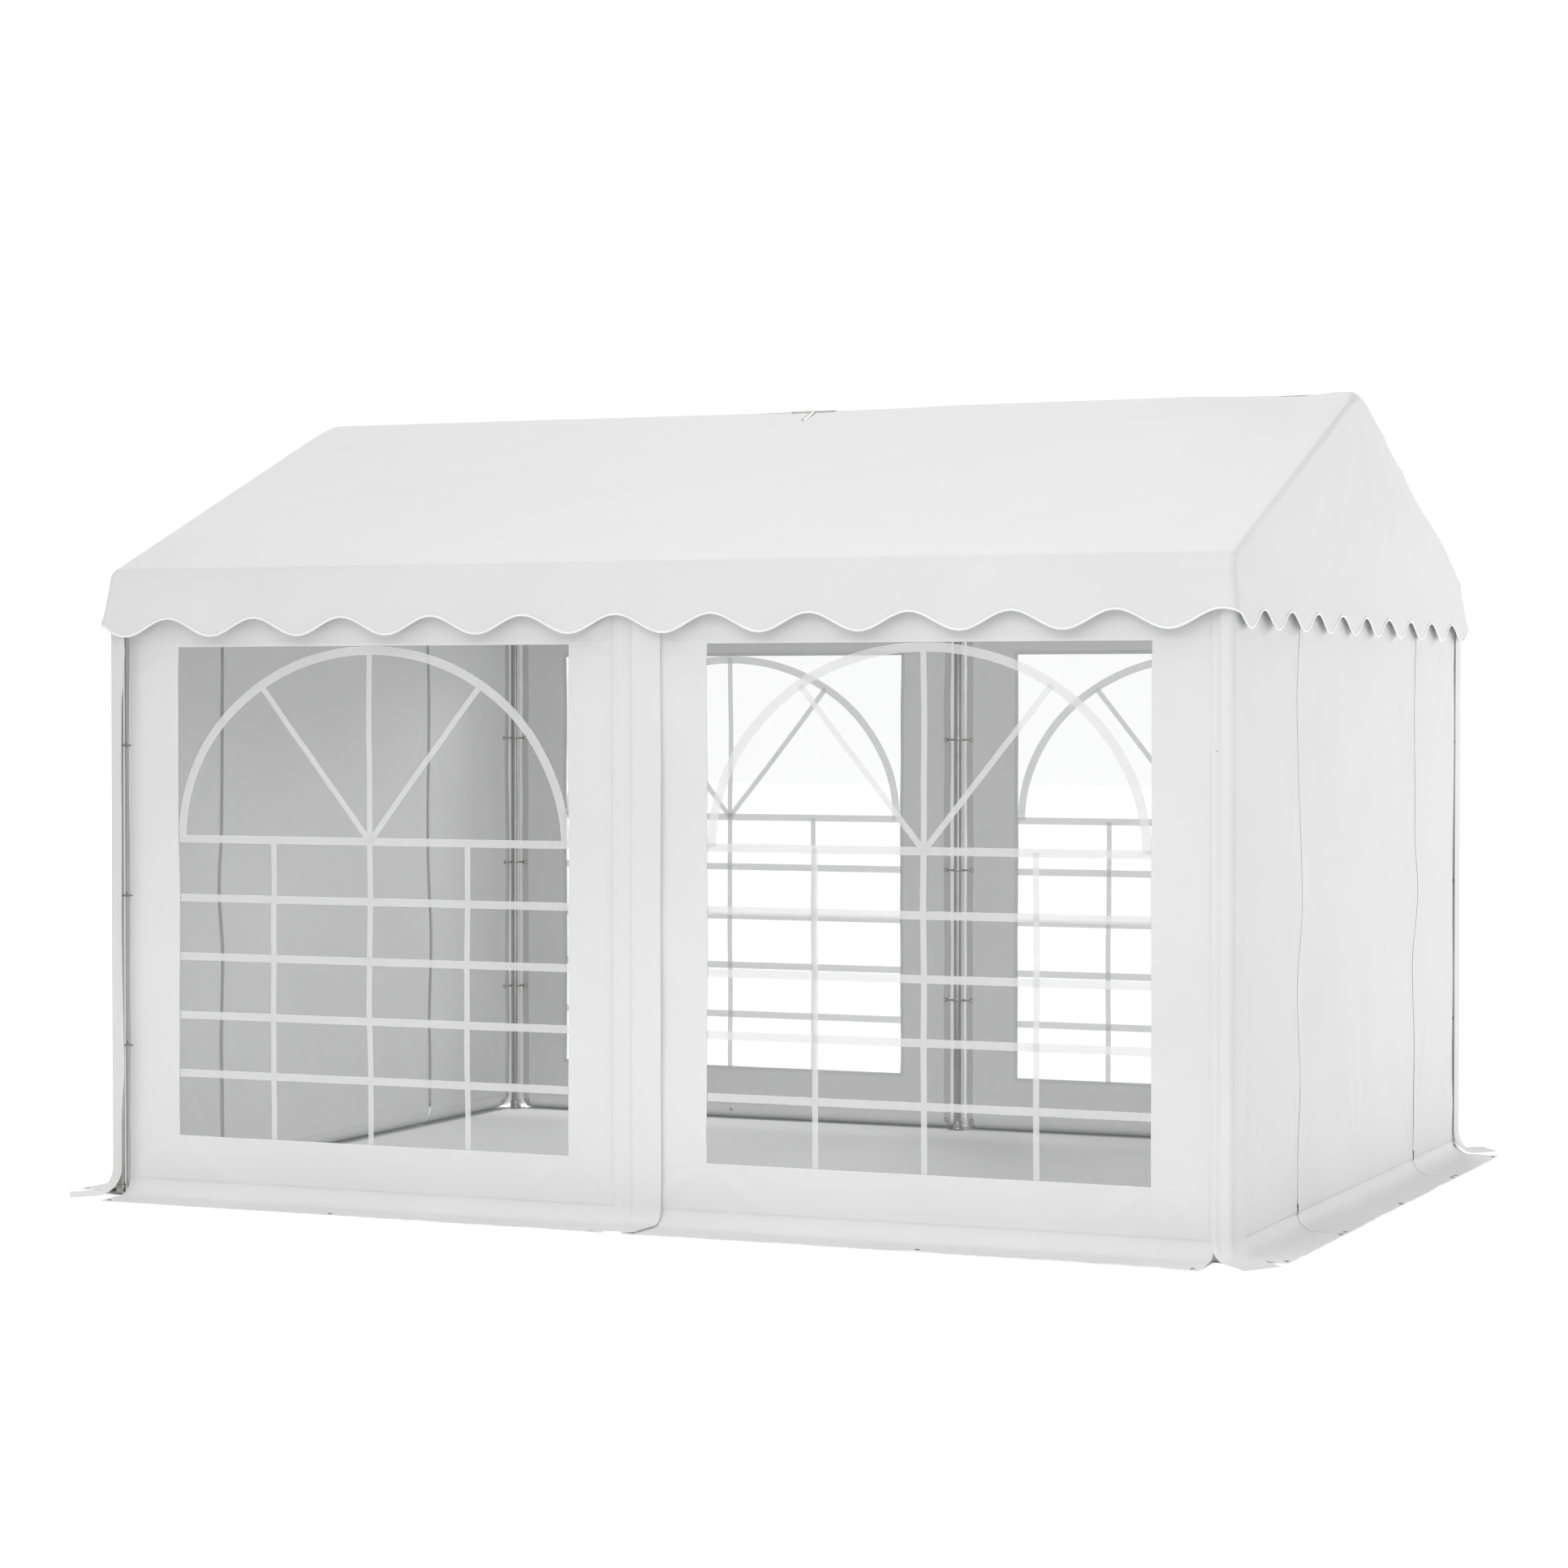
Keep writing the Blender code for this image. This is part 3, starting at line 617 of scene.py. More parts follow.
def build_studio():
    floor_mesh = bpy.data.meshes.new("studio_floor")
    reach = 60.0
    floor_mesh.from_pydata(
        [(-reach, -reach, -0.001), (reach, -reach, -0.001), (reach, reach, -0.001), (-reach, reach, -0.001)],
        [],
        [(0, 1, 2, 3)],
    )
    floor = bpy.data.objects.new("studio_floor", floor_mesh)
    bpy.context.scene.collection.objects.link(floor)
    floor_mesh.materials.append(floor_material())

    world = bpy.data.worlds.new("studio")
    bpy.context.scene.world = world
    world.use_nodes = True
    tree = world.node_tree
    place = tree.nodes.new("ShaderNodeTexCoord")
    split = tree.nodes.new("ShaderNodeSeparateXYZ")
    tones = tree.nodes.new("ShaderNodeValToRGB")
    ramp = tones.color_ramp
    while len(ramp.elements) < len(WORLD_TONES):
        ramp.elements.new(0.5)
    for element, (height, tone) in zip(ramp.elements, WORLD_TONES):
        element.position = height
        element.color = (tone, tone, tone, 1)
    tree.links.new(place.outputs["Generated"], split.inputs["Vector"])
    tree.links.new(split.outputs["Z"], tones.inputs["Fac"])
    rays = tree.nodes.new("ShaderNodeLightPath")
    backdrop = tree.nodes["Background"]
    backdrop.inputs["Color"].default_value = (BACKDROP, BACKDROP, BACKDROP, 1)
    lighting = tree.nodes.new("ShaderNodeBackground")
    choice = tree.nodes.new("ShaderNodeMixShader")
    tree.links.new(rays.outputs["Is Camera Ray"], choice.inputs["Fac"])
    tree.links.new(tones.outputs["Color"], lighting.inputs["Color"])
    tree.links.new(lighting.outputs["Background"], choice.inputs[1])
    tree.links.new(backdrop.outputs["Background"], choice.inputs[2])
    tree.links.new(choice.outputs["Shader"], tree.nodes["World Output"].inputs["Surface"])

    for name, azimuth, elevation, share, spread in SUNS:
        lamp = bpy.data.lights.new(name, "SUN")
        lamp.energy = share * math.pi
        lamp.angle = math.radians(spread)
        light = bpy.data.objects.new(name, lamp)
        way = Vector((
            math.cos(math.radians(azimuth)) * math.cos(math.radians(elevation)),
            math.sin(math.radians(azimuth)) * math.cos(math.radians(elevation)),
            math.sin(math.radians(elevation)),
        ))
        light.rotation_euler = way.to_track_quat("Z", "Y").to_euler()
        bpy.context.scene.collection.objects.link(light)
    for name, place, target, size, power in SOFT_BOXES:
        lamp = bpy.data.lights.new(name, "AREA")
        lamp.shape = "RECTANGLE"
        lamp.size = size[0]
        lamp.size_y = size[1]
        lamp.energy = power
        light = bpy.data.objects.new(name, lamp)
        light.location = place
        light.rotation_euler = (Vector(place) - Vector(target)).to_track_quat("Z", "Y").to_euler()
        light.visible_camera = False
        bpy.context.scene.collection.objects.link(light)

    camera = bpy.data.objects.new("camera", bpy.data.cameras.new("camera"))
    camera.data.lens = CAMERA_LENS
    camera.location = CAMERA_PLACE
    camera.rotation_euler = Euler((math.radians(90 + CAMERA_TILT), 0.0, math.radians(CAMERA_TURN)))
    bpy.context.scene.collection.objects.link(camera)
    bpy.context.scene.camera = camera
    bpy.context.scene.view_settings.view_transform = "Standard"


# Roof cover


def hem_height(phase):
    return HEM_Z + HEM_DEPTH * np.cos(math.tau * phase)


def cover_columns():
    """Columns of the cover's front half: zone, share of the zone, and the phase of its scallops."""
    corner = math.pi / 2 * CORNER
    straight = HEM_HALF_Y
    end = straight + corner
    shares = list(np.linspace(0, straight / end, GABLE_COLUMNS + 1))
    shares += list(np.linspace(straight / end, 1, CORNER_COLUMNS + 1)[1:])
    shares = np.array(shares)
    along = shares * end
    left_front = end + HEM_HALF_X + FRONT_TROUGH_X
    right_front = end + HEM_HALF_X - FRONT_CREST_X
    left_phase = np.interp(along, (0, LEFT_CREST_Y, left_front), (0.5, 5.0, 5.5))
    right_phase = np.interp(along, (0, GABLE_TROUGH_Y, right_front), (22.0, 17.5, 17.0))
    front = np.linspace(-1, 1, FRONT_COLUMNS + 1)
    front_x = front * HEM_HALF_X
    front_phase = 5.5 + 11.5 * (front_x - FRONT_TROUGH_X) / (FRONT_CREST_X - FRONT_TROUGH_X)
    zones = [("left", shares, left_phase), ("front", front[1:-1], front_phase[1:-1])]
    zones.append(("right", shares[::-1], right_phase[::-1]))
    return zones


def end_path(shares, half_x, half_y, long_bend, side_bend):
    """Points on the rounded end of a level ring, from its middle at y 0 to where the slope starts."""
    side_bend = min(side_bend, half_y)
    turn = np.linspace(0, math.pi / 2, 40)
    x = np.concatenate(([half_x], half_x - long_bend * (1 - np.cos(turn))))
    y = np.concatenate(([0.0], half_y - side_bend + side_bend * np.sin(turn)))
    length = np.concatenate(([0.0], np.cumsum(np.hypot(np.diff(x), np.diff(y)))))
    at = shares * length[-1]
    return np.interp(at, length, x), np.interp(at, length, y)


def ring_levels():
    """Half length, half width, height or hem share, and side bend of each ring, hem first."""
    rings = []
    for share in (0.0, 0.02, 0.2, 0.4, 0.6, 0.8, 1.0):
        flare = VALANCE_FLARE + (VALANCE_LEVEL_FLARE - VALANCE_FLARE) * share
        rings.append((COVER_X + flare, COVER_Y + flare, None, share, CORNER))
    for share in (0.2, 0.4, 0.6, 0.8, 1.0):
        flare = VALANCE_LEVEL_FLARE * (1 - share)
        height = VALANCE_LEVEL_Z + (EAVE_Z - VALANCE_LEVEL_Z) * share
        rings.append((COVER_X + flare, COVER_Y + flare, height, 1.0, CORNER))
    for left in EAVE_STOPS:
        angle = ROOF_ANGLE + left / EAVE_ROUND
        half_y = EAVE_Y + EAVE_ROUND * math.sin(angle)
        height = EAVE_Z + EAVE_ROUND * math.cos(angle)
        rings.append((COVER_X, half_y, height, 1.0, CORNER / math.sin(angle)))
    near = [EAVE_SEAM_Y - offset for offset in (0.003, 0.006, 0.010, 0.016)]
    slope = list(np.linspace(EAVE_SEAM_Y - 0.03, 0.05, 45))
    top = [0.042, 0.034, 0.026, 0.019, 0.013, 0.008, 0.004]
    for half_y in near + slope + top:
        height = RIDGE_Z - ROOF_RISE * math.hypot(half_y, RIDGE_SOFT)
        depth = RIDGE_Z - ROOF_RISE * RIDGE_SOFT - height
        back = max(0.0, RIDGE_END_ROUND - depth)
        half_x = COVER_X - RIDGE_END_ROUND + math.sqrt(RIDGE_END_ROUND**2 - back**2)
        rings.append((half_x, half_y, height, 1.0, CORNER / math.sin(ROOF_ANGLE)))
    return rings


# Soft folds of the front slope: start, end, width, height
ROOF_FOLDS = (
    ((-1.75, -0.54), (-1.50, -0.06), 0.10, 0.0090),
    ((-1.66, -0.82), (-0.90, -0.48), 0.13, 0.0110),
    ((-1.82, -0.88), (-1.50, -0.75), 0.04, 0.0035),
    ((-1.20, -1.20), (0.00, -1.04), 0.15, 0.0110),
    ((-0.88, -0.87), (-0.15, -0.53), 0.10, 0.0065),
    ((-1.20, -0.22), (-0.60, -0.34), 0.06, 0.0035),
    ((-1.92, -1.38), (-1.45, -1.02), 0.05, 0.0040),
    ((-1.80, -1.42), (-1.05, -1.25), 0.06, 0.0040),
    ((0.12, -0.77), (1.00, -0.34), 0.09, 0.0095),
    ((0.30, -0.66), (0.95, -0.31), 0.03, 0.0016),
    ((0.62, -1.10), (1.48, -0.56), 0.13, 0.0085),
    ((0.48, -1.40), (0.64, -0.98), 0.04, 0.0035),
    ((0.28, -1.42), (0.52, -1.08), 0.04, 0.0030),
    ((1.02, -0.23), (1.52, -0.09), 0.06, 0.0070),
    ((1.06, -1.24), (1.32, -1.02), 0.05, 0.0035),
    ((1.53, -0.99), (1.80, -1.05), 0.025, 0.0028),
    ((1.42, -0.58), (1.86, -0.24), 0.10, 0.0050),
)
# Pleats of a gable triangle: their crest by (side, height), width at both ends, and height
GABLE_PLEATS = (
    (((0.44, 2.56), (0.48, 2.45), (0.75, 2.17)), 0.035, 0.075, 0.0080),
    (((0.05, 2.68), (0.15, 2.52), (0.27, 2.35), (0.49, 2.17), (0.56, 2.02)), 0.030, 0.080, 0.0100),
    (((-0.02, 2.70), (-0.04, 2.54), (-0.20, 2.34), (-0.43, 2.12)), 0.030, 0.070, 0.0095),
    (((-0.28, 2.66), (-0.42, 2.42), (-0.52, 2.16)), 0.050, 0.090, 0.0125),
    (((-0.56, 2.54), (-0.67, 2.36), (-0.83, 2.23), (-1.00, 2.10)), 0.040, 0.085, 0.0110),
)


def pleat(side, z, crest, near, far, height):
    """A pleat along a crest that runs downwards, steeper on its side towards the back."""
    top = crest[0][1]
    low = crest[-1][1]
    share = (top - z) / (top - low)
    places = [(point[1], point[0]) for point in reversed(crest)]
    across = side - np.interp(z, [place[0] for place in places], [place[1] for place in places])
    width = near + (far - near) * np.clip(share, 0, 1)
    width = width * np.where(across < 0, 0.65, 1.3)
    return height * ease(-0.08, 0.25, share) * (1 - ease(0.55, 1.05, share)) * bell(across, width)


def slope_relief(x, y):
    """How far the cloth of a slope stands off its plane; the back slope is the front turned round."""
    turn = np.where(y > 0, -1.0, 1.0)
    a = x * turn
    b = -np.abs(y)
    inner = ease(0.02, 0.16, -b) * (1 - ease(1.33, 1.46, -b))
    bay = np.sin(math.pi * np.clip(np.abs(x) / 1.97, 0, 1)) ** 2
    total = -0.012 * bay * np.sin(math.pi * np.clip(-b / 1.47, 0, 1))
    for start, end, width, height in ROOF_FOLDS:
        total = total + fold(a, b, start, end, width, height)
    slant = 0.0022 * noise(a * 1.2 + b * 0.9, b * 2.6 - a * 1.5, 5)
    fine = 0.0010 * noise(a * 2.5 + b * 2.2, b * 6.0 - a * 4.0, 9)
    total = total + (slant + fine) * ease(0.03, 0.3, np.abs(np.abs(x) - 0.985) * -1 + 0.985)
    rafter = 0.0012 * bell(x, 0.016) - 0.0022 * bell(np.abs(x) - 0.045, 0.03)
    return inner * (total + rafter)


def gable_relief(y, z, way):
    """Folds that hang from the peak of a gable, and soft waves along its foot."""
    side = -y * way
    total = np.zeros_like(y)
    for crest, near, far, height in GABLE_PLEATS:
        total = total + pleat(side, z, crest, near, far, height)
    total = total + fan(side, z, (-1.47, 2.16), (2, 12, -12), 0.6, 0.03, 0.004, 41)
    total = total + fan(side, z, (1.47, 2.16), (178, 168, 192), 0.6, 0.03, 0.004, 43)
    total = total + 0.003 * noise(y * 3.0, z * 1.6, 51 + way)
    if way > 0:
        total = total + 0.010 * bell(side + 1.15, 0.45) * bell(z - 2.30, 0.10)
    return total * (1 - ease(2.70, 2.76, z))


def build_cover():
    zones = cover_columns()
    rings = []
    for half_x, half_y, height, share, side_bend in ring_levels():
        xs, ys, phases = [], [], []
        for zone, shares, phase in zones:
            if zone == "front":
                x = shares * (half_x - CORNER)
                y = np.full_like(x, -half_y)
            else:
                x, y = end_path(shares, half_x, half_y, CORNER, side_bend)
                x = x * WAYS[zone]
                y = -y
            xs.append(x)
            ys.append(y)
            phases.append(phase)
        x, y, phase = (np.concatenate(part) for part in (xs, ys, phases))
        if height is None:
            z = hem_height(phase) * (1 - share) + VALANCE_LEVEL_Z * share
        else:
            z = np.full_like(x, height)
        half = np.stack((x, y, z), axis=-1)
        mirrored = half[1:-1][::-1] * np.array((1, -1, 1))
        rings.append(np.concatenate((half, mirrored)))
    points = np.array(rings)
    count = points.shape[1]
    middle = (count + 2) // 2

    # Move each point along the surface's own normal
    along = np.roll(points, -1, axis=1) - np.roll(points, 1, axis=1)
    up = np.gradient(points, axis=0)
    normal = np.cross(along, up)
    normal /= np.maximum(np.linalg.norm(normal, axis=-1, keepdims=True), 1e-9)
    x, y, z = points[..., 0], points[..., 1], points[..., 2]
    on_slope = ease(0.55, 0.85, normal[..., 2])
    on_end = ease(0.45, 0.90, np.abs(normal[..., 0]))
    move = on_slope * slope_relief(x, y)
    move = move + on_end * np.where(x > 0, gable_relief(y, z, 1), gable_relief(y, z, -1))
    edge = np.abs(y) - EAVE_SEAM_Y
    move = move + on_slope * 0.0014 * bell(edge + 0.004, 0.004)
    dent = ease(2.125, 2.160, z) * (1 - ease(2.163, 2.168, z)) * (1 - on_end)
    move = move - 0.0042 * dent
    narrow_band = bell(np.abs(y) - COVER_Y + CORNER + 0.010, 0.009) * ease(2.00, 2.06, z) * (1 - ease(2.12, 2.17, z))
    move = move + 0.0025 * narrow_band * on_end
    hang = 1 - ease(2.05, 2.12, z)
    move = move + 0.0022 * hang * noise(x * 1.7, y * 1.7 + 0.3, 17)
    points = points + normal * move[..., None]
    points[..., 2] -= eased_knots(points[..., 0], RIDGE_DIP) * bell(points[..., 1], 0.22) * on_slope

    mesh = bpy.data.meshes.new("roof_cover_cloth")
    shape = bmesh.new()
    grid = [[shape.verts.new(point) for point in ring] for ring in points]
    for lower, upper in zip(grid, grid[1:]):
        for step in range(count):
            after = (step + 1) % count
            shape.faces.new((lower[step], lower[after], upper[after], upper[step]))
    top = grid[-1]
    for step in range(middle - 1):
        corners = [top[step], top[step + 1], top[(count - step - 1) % count], top[(count - step) % count]]
        corners = list(dict.fromkeys(corners))
        if len(corners) > 2:
            shape.faces.new(corners)
    bmesh.ops.remove_doubles(shape, verts=shape.verts, dist=0.0012)
    bmesh.ops.recalc_face_normals(shape, faces=shape.faces)
    shape.to_mesh(mesh)
    shape.free()
    cover = add_piece("roof_cover_cloth", mesh, cloth_finish)
    thicken(cover, CLOTH)
    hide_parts("roof_cover")

    piping = bmesh.new()
    tube_mesh(piping, [tuple(point) for point in points[0]], PIPING, 8, closed=True)
    edge_tape = finish_shape("hem_piping", piping, piping_finish)


# Walls


def hang(run, wall, top):
    """Distance out, height and normal of a wall that turns out onto the ground, along its run."""
    drop = top - SKIRT_REST - SKIRT_ROUND
    turn = np.clip((run - drop) / SKIRT_ROUND, 0, math.pi / 2)
    flat = np.maximum(run - drop - SKIRT_ROUND * math.pi / 2, 0)
    out = wall + SKIRT_ROUND * (1 - np.cos(turn)) + flat
    height = top - np.minimum(run, drop) - SKIRT_ROUND * np.sin(turn)
    return out, height, np.cos(turn), np.sin(turn)


def run_of(height, top):
    """The run down a wall at a height above its bend."""
    return top - height


def run_end(wall, top, skirt_end):
    drop = top - SKIRT_REST - SKIRT_ROUND
    return drop + SKIRT_ROUND * math.pi / 2 + skirt_end - wall - SKIRT_ROUND


def skirt_relief(along, out_share, seed):
    """Small waves of a skirt, which never go below the floor."""
    wave = noise(along * 7.0, out_share * 1.2, seed) + 0.6 * noise(along * 15.0, out_share * 2.0, seed + 1)
    return 0.0045 * np.maximum(wave, 0) * out_share


def wall_sway(seed, u, z):
    """Slow wander of the cloth along the wall, which makes its straight edges a little wavy."""
    free = ease(0.05, 0.3, z) * (1 - ease(1.95, 2.1, z))
    return free * (0.0035 * noise(u * 0.9, z * 2.2, seed) + 0.0015 * noise(u * 1.9 + 7, z * 5.0, seed + 1))


def wall_relief(seed, u, z):
    """How far a window wall's cloth stands out of its plane."""
    total = 0.0045 * noise(u * 1.1, z * 0.8, seed + 2)
    total = total + 0.0038 * noise(u * 4.0 + z * 2.2, z * 1.4 - u, seed + 3)
    total = total + 0.0014 * noise(u * 12.0, z * 1.6, seed + 4)
    total = total - 0.005 * ease(1.90, 1.955, u)
    low, high = WINDOW_Z
    near, far = WINDOW_X
    total = total + fan(u, z, (near, high), (100, 150, 200, 235, 262), 0.45, 0.018, 0.0048, seed)
    total = total + fan(u, z, (near, low), (95, 120, 215, 250, 285, 320), 0.40, 0.018, 0.0048, seed + 1)
    total = total + fan(u, z, (far, high), (278, 305, 330, 20), 0.45, 0.018, 0.0048, seed + 2)
    total = total + fan(u, z, (far, low), (60, 85, 255, 290, 325, 220), 0.40, 0.018, 0.0048, seed + 3)
    return total * (1 - ease(1.98, 2.10, z)) * ease(0.0, 0.08, z)


WALL_SEEDS = {("front", "left"): 11, ("front", "right"): 29, ("back", "left"): 47, ("back", "right"): 61}


def wall_point(side_name, bay_name, u, run, lift=0.0):
    side = SIDES[side_name]
    way = WAYS[bay_name]
    seed = WALL_SEEDS[side_name, bay_name]
    wrapped = side * way < 0
    out, z, level, upward = hang(run, WALL_Y, WALL_TOP)
    share = ease(WALL_Y + 0.01, SKIRT_END_Y, out)
    dip = 0.0 if wrapped else -0.005 * (1 - ease(*SEWN_DIP, u)) * ease(0.05, 0.15, z)
    move = (wall_relief(seed, u, z) + dip) * level + skirt_relief(u, share, seed + 9) + lift
    corner = share * ease(1.6, PANEL_X[1], u)
    out = out + 0.004 * share * noise(u * 2.3, share * 0, seed + 5) + (0.018 * corner if wrapped else 0.0)
    u = u + wall_sway(seed, u, z) + SKIRT_CORNER[wrapped] * corner
    return way * u, side * (out + move * level), z + move * upward


def window_weld(u, run):
    """The welded strip above and below a window, the hems at both edges, and the skirt's seam."""
    z = WALL_TOP - run
    strip = 0.0
    for edge in (WINDOW_Z[0] - 0.008, WINDOW_Z[1] + 0.008):
        strip = strip + 0.0007 * bell(z - edge, 0.0045)
    hem = 0.0006 * (1 - ease(PANEL_X[0] + 0.024, PANEL_X[0] + 0.027, u))
    hem = hem + 0.0006 * ease(PANEL_X[1] - 0.027, PANEL_X[1] - 0.024, u)
    seam = 0.0012 * ease(SKIRT_SEAM_Z + 0.001, SKIRT_SEAM_Z + 0.003, z)
    return strip + hem + seam


def build_window_walls():
    end = run_end(WALL_Y, WALL_TOP, SKIRT_END_Y)
    low_edge = run_of(WINDOW_Z[0], WALL_TOP)
    high_edge = run_of(WINDOW_Z[1], WALL_TOP)
    seam = run_of(SKIRT_SEAM_Z, WALL_TOP)
    marks_v = [high_edge - offset for offset in (0.0, HOLD, 0.004, 0.008, 0.012, 0.018)]
    marks_v += [low_edge + offset for offset in (0.0, HOLD, 0.004, 0.008, 0.012, 0.018)]
    marks_v += [seam - offset for offset in (-0.002, 0.001, 0.003, 0.008)]
    marks_v += [seam + 0.010 * number for number in range(1, 12)]
    marks_u = [WINDOW_X[0] - HOLD, WINDOW_X[0], WINDOW_X[1], WINDOW_X[1] + HOLD]
    marks_u += [PANEL_X[0] + 0.024, PANEL_X[0] + 0.027, PANEL_X[1] - 0.027, PANEL_X[1] - 0.024]
    across = stations(*PANEL_X, 0.014, marks_u)
    down = stations(0.0, end, 0.016, marks_v)

    def keep(u, run):
        in_u = (u > WINDOW_X[0]) & (u < WINDOW_X[1])
        return ~(in_u & (run > high_edge) & (run < low_edge))

    def hem(u):
        return (u < PANEL_X[0] + HEM_WIDE) | (u > PANEL_X[1] - HEM_WIDE)

    for side_name, side in SIDES.items():
        for bay_name in WAYS:

            def place(u, run):
                return wall_point(side_name, bay_name, u, run, window_weld(u, run))

            wall = sheet(
                f"wall_cloth_{side_name}_{bay_name}", across, down, place, (0, side, 0),
                cloth_finish, keep=keep, inside=hem_inside_shade_finish, hem=hem,
            )
            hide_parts(f"wall_{side_name}_{bay_name}")
            rings = build_wall_eyelets(side_name, bay_name)
            build_window(side_name, bay_name)


def film_point(side_name, bay_name, u, z, lift):
    """A point on the outer face of a window's film, which follows the wall and ripples between."""
    seed = WALL_SEEDS[side_name, bay_name]
    inside = ease(0.0, 0.12, np.minimum(u - WINDOW_X[0], WINDOW_X[1] - u))
    inside = inside * ease(0.0, 0.12, np.minimum(z - WINDOW_Z[0], WINDOW_Z[1] - z))
    ripple = 0.0022 * noise(u * 2.6, z * 1.9, seed + 6) + 0.0010 * noise(u * 6.0 + z, z * 4.0, seed + 7)
    lift = lift - CLOTH - 0.0003 + inside * ripple
    return wall_point(side_name, bay_name, u, run_of(z, WALL_TOP), lift)


def strip_points(line, width, closed_step=0.022):
    """Cut a centre line in the window's plane into short steps with its left and right edges."""
    dense = [np.array(line[0], float)]
    for start, end in zip(line, line[1:]):
        start = np.array(start, float)
        end = np.array(end, float)
        count = max(1, math.ceil(np.linalg.norm(end - start) / closed_step))
        dense += [start + (end - start) * number / count for number in range(1, count + 1)]
    dense = np.array(dense)
    ahead = np.gradient(dense, axis=0)
    ahead /= np.linalg.norm(ahead, axis=1, keepdims=True)
    left = np.stack((-ahead[:, 1], ahead[:, 0]), axis=1) * width / 2
    return dense + left, dense - left


def window_bars():
    """Centre lines of the printed bars: their layer, width and points from the window's middle."""
    half = (WINDOW_X[1] - WINDOW_X[0]) / 2 + 0.004
    low = WINDOW_Z[0] - 0.004
    bars = []
    for height in BAR_HEIGHTS:
        bars.append((0, BAR_TALL, [(-half, height), (half, height)]))
    bars.append((0, BAR_TALL, [(-half, SPRING_Z), (half, SPRING_Z)]))
    for across in UPRIGHTS:
        top = WINDOW_Z[1] - 0.006 if across == 0.0 else SPRING_Z
        bars.append((1, BAR_WIDE, [(across, low), (across, top)]))
    for across in (-SPOKE_REACH, SPOKE_REACH):
        bars.append((2, BAR_WIDE, [(0.0, SPRING_Z), (across, SPOKE_Z)]))
    arch = []
    reach = half - 0.004 - ARCH_BAND / 2
    rise = ARCH_RISE - ARCH_BAND / 2
    steps = 72
    for step in range(steps + 1):
        turn = math.pi * step / steps
        arch.append((-reach * math.cos(turn), SPRING_Z + rise * math.sin(turn)))
    bars.append((3, ARCH_BAND, arch))
    return bars


def build_window(side_name, bay_name):
    side = SIDES[side_name]
    across = stations(WINDOW_X[0] - WINDOW_SEAM, WINDOW_X[1] + WINDOW_SEAM, 0.03)
    down = stations(WINDOW_Z[0] - WINDOW_SEAM, WINDOW_Z[1] + WINDOW_SEAM, 0.03)

    def place(u, z):
        return film_point(side_name, bay_name, u, z, 0.0)

    film = sheet(
        f"window_film_{side_name}_{bay_name}", across, down, place, (0, side, 0),
        film_finish, thick=FILM,
    )
    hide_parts(f"window_{side_name}_{bay_name}")

    shape = bmesh.new()
    for layer, width, line in window_bars():
        left, right = strip_points(line, width)
        proud = 0.00012 * (layer + 1)
        rows = []
        for edge, lift in ((left, proud), (right, proud), (right, -FILM - proud), (left, -FILM - proud)):
            x, y, z = film_point(side_name, bay_name, WINDOW_MIDDLE + edge[:, 0], edge[:, 1], lift)
            rows.append([shape.verts.new(point) for point in zip(x, y, z)])
        for number in range(len(rows[0]) - 1):
            for one, two in zip(rows, rows[1:] + rows[:1]):
                shape.faces.new((one[number], one[number + 1], two[number + 1], two[number]))
        shape.faces.new([row[0] for row in rows])
        shape.faces.new([row[-1] for row in reversed(rows)])
    bars = finish_shape(
        f"window_bars_{side_name}_{bay_name}", shape, print_finish, smooth=False
    )


# Gables


def gable_sway(way, y, z):
    """How far the cloth wanders along a gable, most at its two zips and its free edges."""
    front, back = (FRONT_ZIP_SWAY, BACK_ZIP_SWAY) if way > 0 else (BACK_ZIP_SWAY, FRONT_ZIP_SWAY)
    strength = 1.0 if way > 0 else LEFT_ZIP_SWAY
    total = strength * eased_knots(z, front) * bell(y + ZIP_Y, 0.38)
    total = total + strength * eased_knots(z, back) * bell(y - ZIP_Y, 0.38)
    edge = 0.010 * noise(z * 1.9, np.sign(y) * 3.3, 71 + way) * bell(np.abs(y) - GABLE_END_Y, 0.25)
    return total + edge * ease(0.05, 0.3, z) * (1 - ease(1.9, 2.1, z))


def gable_wall_relief(way, y, z):
    """Long upright folds, and arcs that spread from the foot of each zip and the skirt's corners."""
    seed = 81 + way
    total = 0.0050 * noise(y * 1.4, z * 0.7, seed)
    total = total + 0.0032 * noise(y * 5.0, z * 0.8, seed + 2)
    total = total + 0.0024 * noise(y * 4.0 + z * 2.5, z * 1.5 - y * 1.2, seed + 3)
    for centre, headings in (
        ((-ZIP_Y, 0.06), (60, 78, 95, 112, 130)),
        ((ZIP_Y, 0.06), (50, 68, 85, 102, 120)),
        ((-1.43, 0.06), (40, 58, 75)),
        ((1.43, 0.06), (105, 122, 140)),
        ((-1.43, 2.05), (-35, -52, -70)),
        ((1.43, 2.05), (-110, -128, -145)),
        ((-ZIP_Y, 1.75), (-60, -75, -105)),
        ((ZIP_Y, 1.75), (-75, -105, -120)),
        ((0.0, 0.06), (72, 90, 110)),
    ):
        total = total + fan(y, z, centre, headings, 0.75, 0.022, 0.0045, seed + round(100 * centre[0]))
    total = total - 0.010 * ease(1.37, 1.45, np.abs(y))
    return total * (1 - ease(2.0, 2.12, z)) * ease(0.0, 0.1, z)


